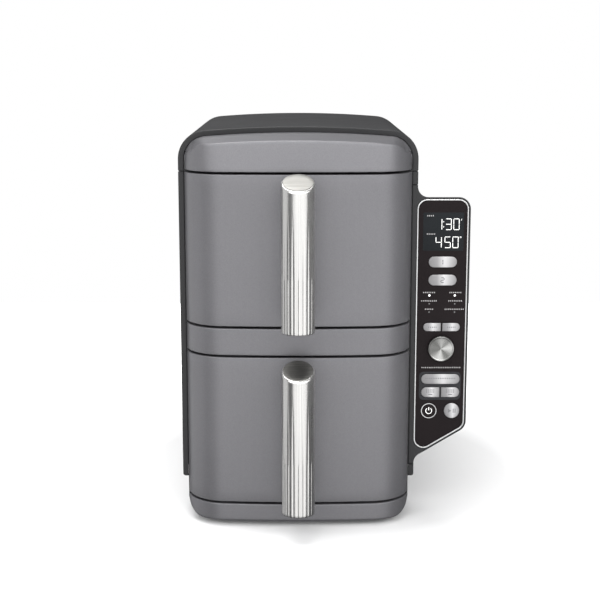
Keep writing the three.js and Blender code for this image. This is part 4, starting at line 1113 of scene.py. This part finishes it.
def make_print():
    """Short plain bars stand where the functions are listed, with a lamp under each."""
    y = span("panel_glass")[0].y
    window = middle("display_module")
    bars = [(window.x - 12.6, window.z + 15.4, 7.0), (window.x - 12.2, window.z - 2.2, 8.0)]
    lit, unlit = [], []
    for row, widths in enumerate(((13.0, 11.4), (16.5, 13.2), (9.0, 20.0))):
        z = PANEL_TOP - LAMP_TOP_DROP - row * LAMP_ROW_PITCH
        kind, radius = (lit, 0.95) if row == 0 else (unlit, 0.7)
        for x, width in zip((COLUMN_X - LAMP_ACROSS, COLUMN_X + LAMP_ACROSS), widths):
            bars.append((x, z, width))
            kind.append(disc(x, z - LAMP_DROP, radius, y, 0.12, 16))
    bars.append((COLUMN_X, PANEL_TOP - 164.0, 38.0))
    strokes = [blocks(x, z, width, y - DISPLAY_RAISE) for x, z, width in bars]
    points, faces = merged(*strokes)
    piece("printed_bars", points, faces, "housing", GLOWING_PRINT)
    points, faces = merged(*lit)
    piece("lit_lamps", points, faces, "housing", DOT_LIGHT)
    points, faces = merged(*unlit)
    piece("unlit_lamps", points, faces, "housing", DOT_DARK)


def blocks(x, z, width, y, height=1.25, pitch=1.75):
    """A row of small plain blocks in place of a word."""
    count = max(round(width / pitch), 2)
    marks = []
    for i in range(count):
        centre = x - width / 2 + pitch * (i + 0.5)
        outline = slab(centre - 0.42, centre + 0.42, z - height / 2, z + height / 2, 0.2, 3)
        marks.append(capped([ring_at(outline, y), ring_at(outline, y - MARK_RAISE)]))
    return merged(*marks)


def mark(name, body, material, slot, *parts):
    points, faces = merged(*parts)
    piece(name, points, faces, body, material)


def mark_numbers(face):
    for name, body, character, shift, height, thick in (
        ("number_one", "drawer_one", "1", -1.5, 5.0, 0.95),
        ("number_two", "drawer_two", "2", 0.0, 4.6, 0.85),
    ):
        key = middle(f"{body}_button")
        shape = digit(character, key.x + shift, key.z, 3.0, height, thick, face, MARK_RAISE)
        mark(name, f"{body}_key", INK, "silver_button", shape)


def mark_power(face):
    power = middle("power_button")
    sign = loop(power.x, power.z, 2.9, 0.75, face, 0.06, math.radians(125), math.radians(415))
    stem = bar((power.x, power.z + 0.2), (power.x, power.z + 3.9), 0.8, face, 0.06)
    edge = loop(power.x, power.z, 7.2, 0.6, face, 0.06)
    mark("power_sign", "power_key", DIGIT_LIGHT, "silver_trim", sign, stem)
    mark("power_ring", "power_key", TRIM, "silver_trim", edge)


def mark_start(face):
    start = middle("start_button")
    corners = ((-3.6, -2.2), (-0.2, 0.0), (-3.6, 2.2))
    flat = [(start.x + across, start.z + up, 0, 0) for across, up in corners]
    arrow = capped([ring_at(flat, face), ring_at(flat, face - MARK_RAISE)])
    pause = []
    for across in (1.6, 3.4):
        foot, head = (start.x + across, start.z - 2.3), (start.x + across, start.z + 2.3)
        pause.append(bar(foot, head, 0.8, face, MARK_RAISE))
    mark("start_sign", "start_key", INK, "silver_button", arrow, *pause)


def make_button_marks():
    """Numbers, the power sign and small signs on the buttons; each moves with its button."""
    face = span("drawer_one_button")[0].y
    mark_numbers(face)
    mark_power(face)
    mark_start(face)
    for name in ("temperature", "time"):
        key = middle(f"{name}_button")
        mark(f"{name}_mark", f"{name}_key", INK, "silver_button", blocks(key.x, key.z, 8.0, face))
    wide = middle("two_level_button")
    line = blocks(wide.x, wide.z + 0.8, 30.0, face)
    mark("two_level_mark", "two_level_key", INK, "silver_button", line)
    for name in ("finish_together", "match_drawers"):
        key = middle(f"{name}_button")
        rows = [blocks(key.x, key.z + lift, 9.0, face) for lift in (2.4, 0.4)]
        low = key.z - 2.0
        under = bar((key.x - 2.2, low), (key.x + 2.2, low), 0.9, face, MARK_RAISE)
        mark(f"{name}_mark", f"{name}_key", INK, "silver_button", *rows, under)


def make_dial():
    low, high = span("dial_knob")
    centre = (low + high) / 2
    radius = (high.x - low.x) / 2
    skirt = span("panel_glass")[0].y - 0.3
    profile = [(0.02, 0.55), (radius * 0.5, 0.5), (radius - 1.9, 0.42)]
    profile += [(radius - 1.5, 0.3), (radius - 1.2, 0.05)]
    profile += [(radius - 0.9, 0.0), (radius - 0.45, 0.15), (radius - 0.1, 0.6), (radius, 1.2)]
    profile += [(radius, skirt - low.y), (3, skirt - low.y)]
    profile += [(3, high.y - low.y), (0.02, high.y - low.y)]
    circle = arc(0, 0, 1, 0, 2 * math.pi, 96)[:-1]
    rows = []
    for reach, depth in profile:
        y = low.y + depth
        rows.append([(centre.x + reach * nx, y, centre.z + reach * nz) for _, _, nx, nz in circle])
    points, faces = capped(rows)
    face = spun_metal(at(*centre))
    piece("dial_knob_turned", points, faces, "dial", face, ["dial_knob"], sharp=30)


# ---- Handles --------------------------------------------------------------------------------------


def groove(i, depth):
    """Depth at a step round the bar: a round rib between two narrow grooves."""
    return depth * (1 - abs(math.sin(math.pi * i / FLUTE_STEPS)) ** 0.55)


def bar_ring(box, inset, share, below=0.0, scoop=1.0):
    """A ring at a share of the bar's height; its top slants down towards the front."""
    low, high = box
    centre_x, centre_y = (low.x + high.x) / 2, (low.y + high.y) / 2
    slope = HANDLE_SLANT / (2 * HANDLE_RADIUS)
    depth = FLUTE_DEPTH * scoop * min(max((FLUTE_TOP - share) / FLUTE_FADE, 0), 1)
    row = []
    for i, (_, _, nx, ny) in enumerate(arc(0, 0, 1, 0, 2 * math.pi, FLUTES * FLUTE_STEPS)[:-1]):
        radius = HANDLE_RADIUS - inset - groove(i, depth)
        x, y = centre_x + radius * nx, centre_y + radius * ny
        top = high.z - slope * (centre_y + HANDLE_RADIUS - y) - below
        row.append((x, y, low.z + (top - low.z) * share))
    return row


def bar_foot(box, inset, lift, scoop):
    """A level ring near the bar's foot."""
    return [(x, y, box[0].z + lift) for x, y, _ in bar_ring(box, inset, 0, 0, scoop)]


def make_handle(level_name):
    """A slant-topped bar, smooth at its top and fluted lower down, with a flat cap on its end."""
    body = f"{level_name}_drawer"
    bar_node, cap_node = f"{level_name}_handle_bar", f"{level_name}_handle_cap"
    box = span(bar_node)
    heel = ((2.4, 0.3, 0), (1.2, 0.02, 0.6), (0.5, 0.1, 1), (0.12, 0.4, 1), (0, 0.9, 1))
    rows = [bar_foot(box, inset, lift, scoop) for inset, lift, scoop in heel]
    rows += [bar_ring(box, 0, i / 48) for i in range(1, 48)]
    rim = ((0, 2.5), (0.12, 1.9), (0.42, 1.35), (0.85, 0.95), (1.4, 0.75), (2.4, 0.72))
    rows += [bar_ring(box, inset, 1, below) for inset, below in rim]
    points, faces = grid(rows, closed=True)
    piece(f"{bar_node}_fluted", points, faces, body, CHROME, [bar_node], sharp=60)
    cap_edge = ((1.4, 0.95), (1.35, 0.3), (1.45, 0.1), (1.7, 0.02), (6, 0), (15.2, 0))
    points, faces = capped([bar_ring(box, inset, 1, below) for inset, below in cap_edge])
    piece(f"{cap_node}_disc", points, faces, body, CAP, [cap_node], sharp=50)


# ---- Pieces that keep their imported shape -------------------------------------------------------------


def finish_packed(material, names, edge=0.0):
    for name in names:
        obj = nodes[name]
        obj.data.materials.clear()
        obj.data.materials.append(material)
        if edge:
            soften(obj, edge)


def finish_rest():
    def both(*kinds):
        return [f"{side}_{kind}" for side in ("upper", "lower") for kind in kinds]

    feet = [f"{place}_foot" for place in ("front_left", "front_right", "rear_left", "rear_right")]
    bare = ("cavity_liner", "fan_guard", "fan_housing", "fan_shaft", "convection_fan", "fan_motor")
    finish_packed(BLACK, ["base_pan", "front_bezel"], 0.5)
    finish_packed(BLACK, both("drawer_inner_cover", "handle_bracket", "cooling_fan"), 0.4)
    finish_packed(NONSTICK, both("basket", "crisper_plate"), 0.3)
    finish_packed(STEEL, both(*bare), 0.2)
    finish_packed(HEATER, both("heating_element"))
    finish_packed(RUBBER, feet + ["cord_gland"], 0.4)
    finish_packed(BOARD, ["control_board", "power_board"])
    finish_packed(WINDOW, ["display_module"])


# ---- Stage, light and camera ---------------------------------------------------------------------------


def make_stage():
    """A pale floor that grows brighter away from the fryer until it meets the white backdrop."""
    mesh = bpy.data.meshes.new("floor")
    reach = 0.95
    corners = [(-reach, -reach, 0), (reach, -reach, 0), (reach, reach, 0), (-reach, reach, 0)]
    mesh.from_pydata(corners, [], [(0, 1, 2, 3)])
    floor = bpy.data.objects.new("floor", mesh)
    bpy.context.scene.collection.objects.link(floor)
    finish = Finish("pale_floor", 0.16)
    place = add(finish.tree, "ShaderNodeTexCoord").outputs["Object"]
    away = add(finish.tree, "ShaderNodeVectorMath", {0: place}, operation="LENGTH")
    glow = finish.stretch(away.outputs["Value"], 0.06, 1.2, 0.2, 0.5)
    finish.set(Base_Color=(0.9, 0.9, 0.9, 1.0), Specular_IOR_Level=0.35)
    finish.set(Emission_Color=(1.0, 1.0, 1.0, 1.0), Emission_Strength=glow)
    mesh.materials.append(finish.material)
    floor.visible_glossy = False


def aim(azimuth, elevation, distance):
    """A place seen from the fryer; azimuth 0 is straight in front, 90 to its right."""
    a, e = math.radians(azimuth), math.radians(elevation)
    flat = distance * math.cos(e)
    return (flat * math.sin(a), -flat * math.cos(a), 0.2 + distance * math.sin(e))


def softbox(name, place, target, width, height, power, colour=(1.0, 1.0, 1.0)):
    light = bpy.data.lights.new(name, "AREA")
    light.shape = "RECTANGLE"
    light.size = width
    light.size_y = height
    light.energy = power
    light.color = colour
    obj = bpy.data.objects.new(name, light)
    bpy.context.scene.collection.objects.link(obj)
    obj.location = place
    obj.rotation_euler = (Vector(target) - Vector(place)).to_track_quat("-Z", "Y").to_euler()
    return obj


def make_world():
    """White behind the fryer, and a dim even light all round it."""
    world = bpy.data.worlds.new("studio")
    bpy.context.scene.world = world
    world.use_nodes = True
    tree = world.node_tree
    shown = tree.nodes["Background"]
    fill(tree, shown, {"Color": (1, 1, 1, 1), "Strength": 1.0})
    dim = {"Color": (0.96, 0.97, 1.0, 1.0), "Strength": 0.12}
    around = add(tree, "ShaderNodeBackground", dim)
    seen = add(tree, "ShaderNodeLightPath").outputs["Is Camera Ray"]
    inputs = {"Fac": seen, 1: around.outputs["Background"], 2: shown.outputs["Background"]}
    mix = add(tree, "ShaderNodeMixShader", inputs)
    fill(tree, tree.nodes["World Output"], {"Surface": mix.outputs["Shader"]})


def make_light():
    softbox("key_low", aim(13, -9, 2.3), (0, 0, 0.2), 4.6, 1.9, 38)
    softbox("key_high", aim(5, 34, 2.3), (0, 0, 0.25), 7.0, 1.3, 112)
    softbox("fill_left", aim(-100, 4, 2.0), (0, 0, 0.2), 2.6, 2.6, 15)
    softbox("fill_right", aim(88, 10, 2.2), (0, 0, 0.2), 2.0, 2.2, 2)
    softbox("top", (-0.3, 0.25, 2.2), (0, 0, 0.2), 2.0, 1.8, 62)


def make_camera():
    data = bpy.data.cameras.new("front_camera")
    camera = bpy.data.objects.new("front_camera", data)
    bpy.context.scene.collection.objects.link(camera)
    data.sensor_width = 36
    data.lens = CAMERA_LENS
    data.clip_end = 50
    camera.location = at(*CAMERA_PLACE)
    camera.rotation_euler = (math.radians(90 - CAMERA_PITCH), 0, 0)
    bpy.context.scene.camera = camera


def build():
    make_camera()
    make_front()
    make_top_cover()
    make_rear_cover()
    side_panel("left_side_panel", -1, None)
    side_panel("right_side_panel", 1, (pod_low.z - 0.6, pod_high.z + 0.6, pod_high.y + 0.6))
    make_pod_strip()
    make_pod()
    make_trim()
    make_panel()
    make_buttons()
    make_display_marks()
    make_print()
    make_button_marks()
    make_dial()
    make_handle("upper")
    make_handle("lower")
    finish_rest()
    make_stage()
    make_world()
    make_light()
    bpy.context.scene.view_settings.view_transform = "Standard"


build()
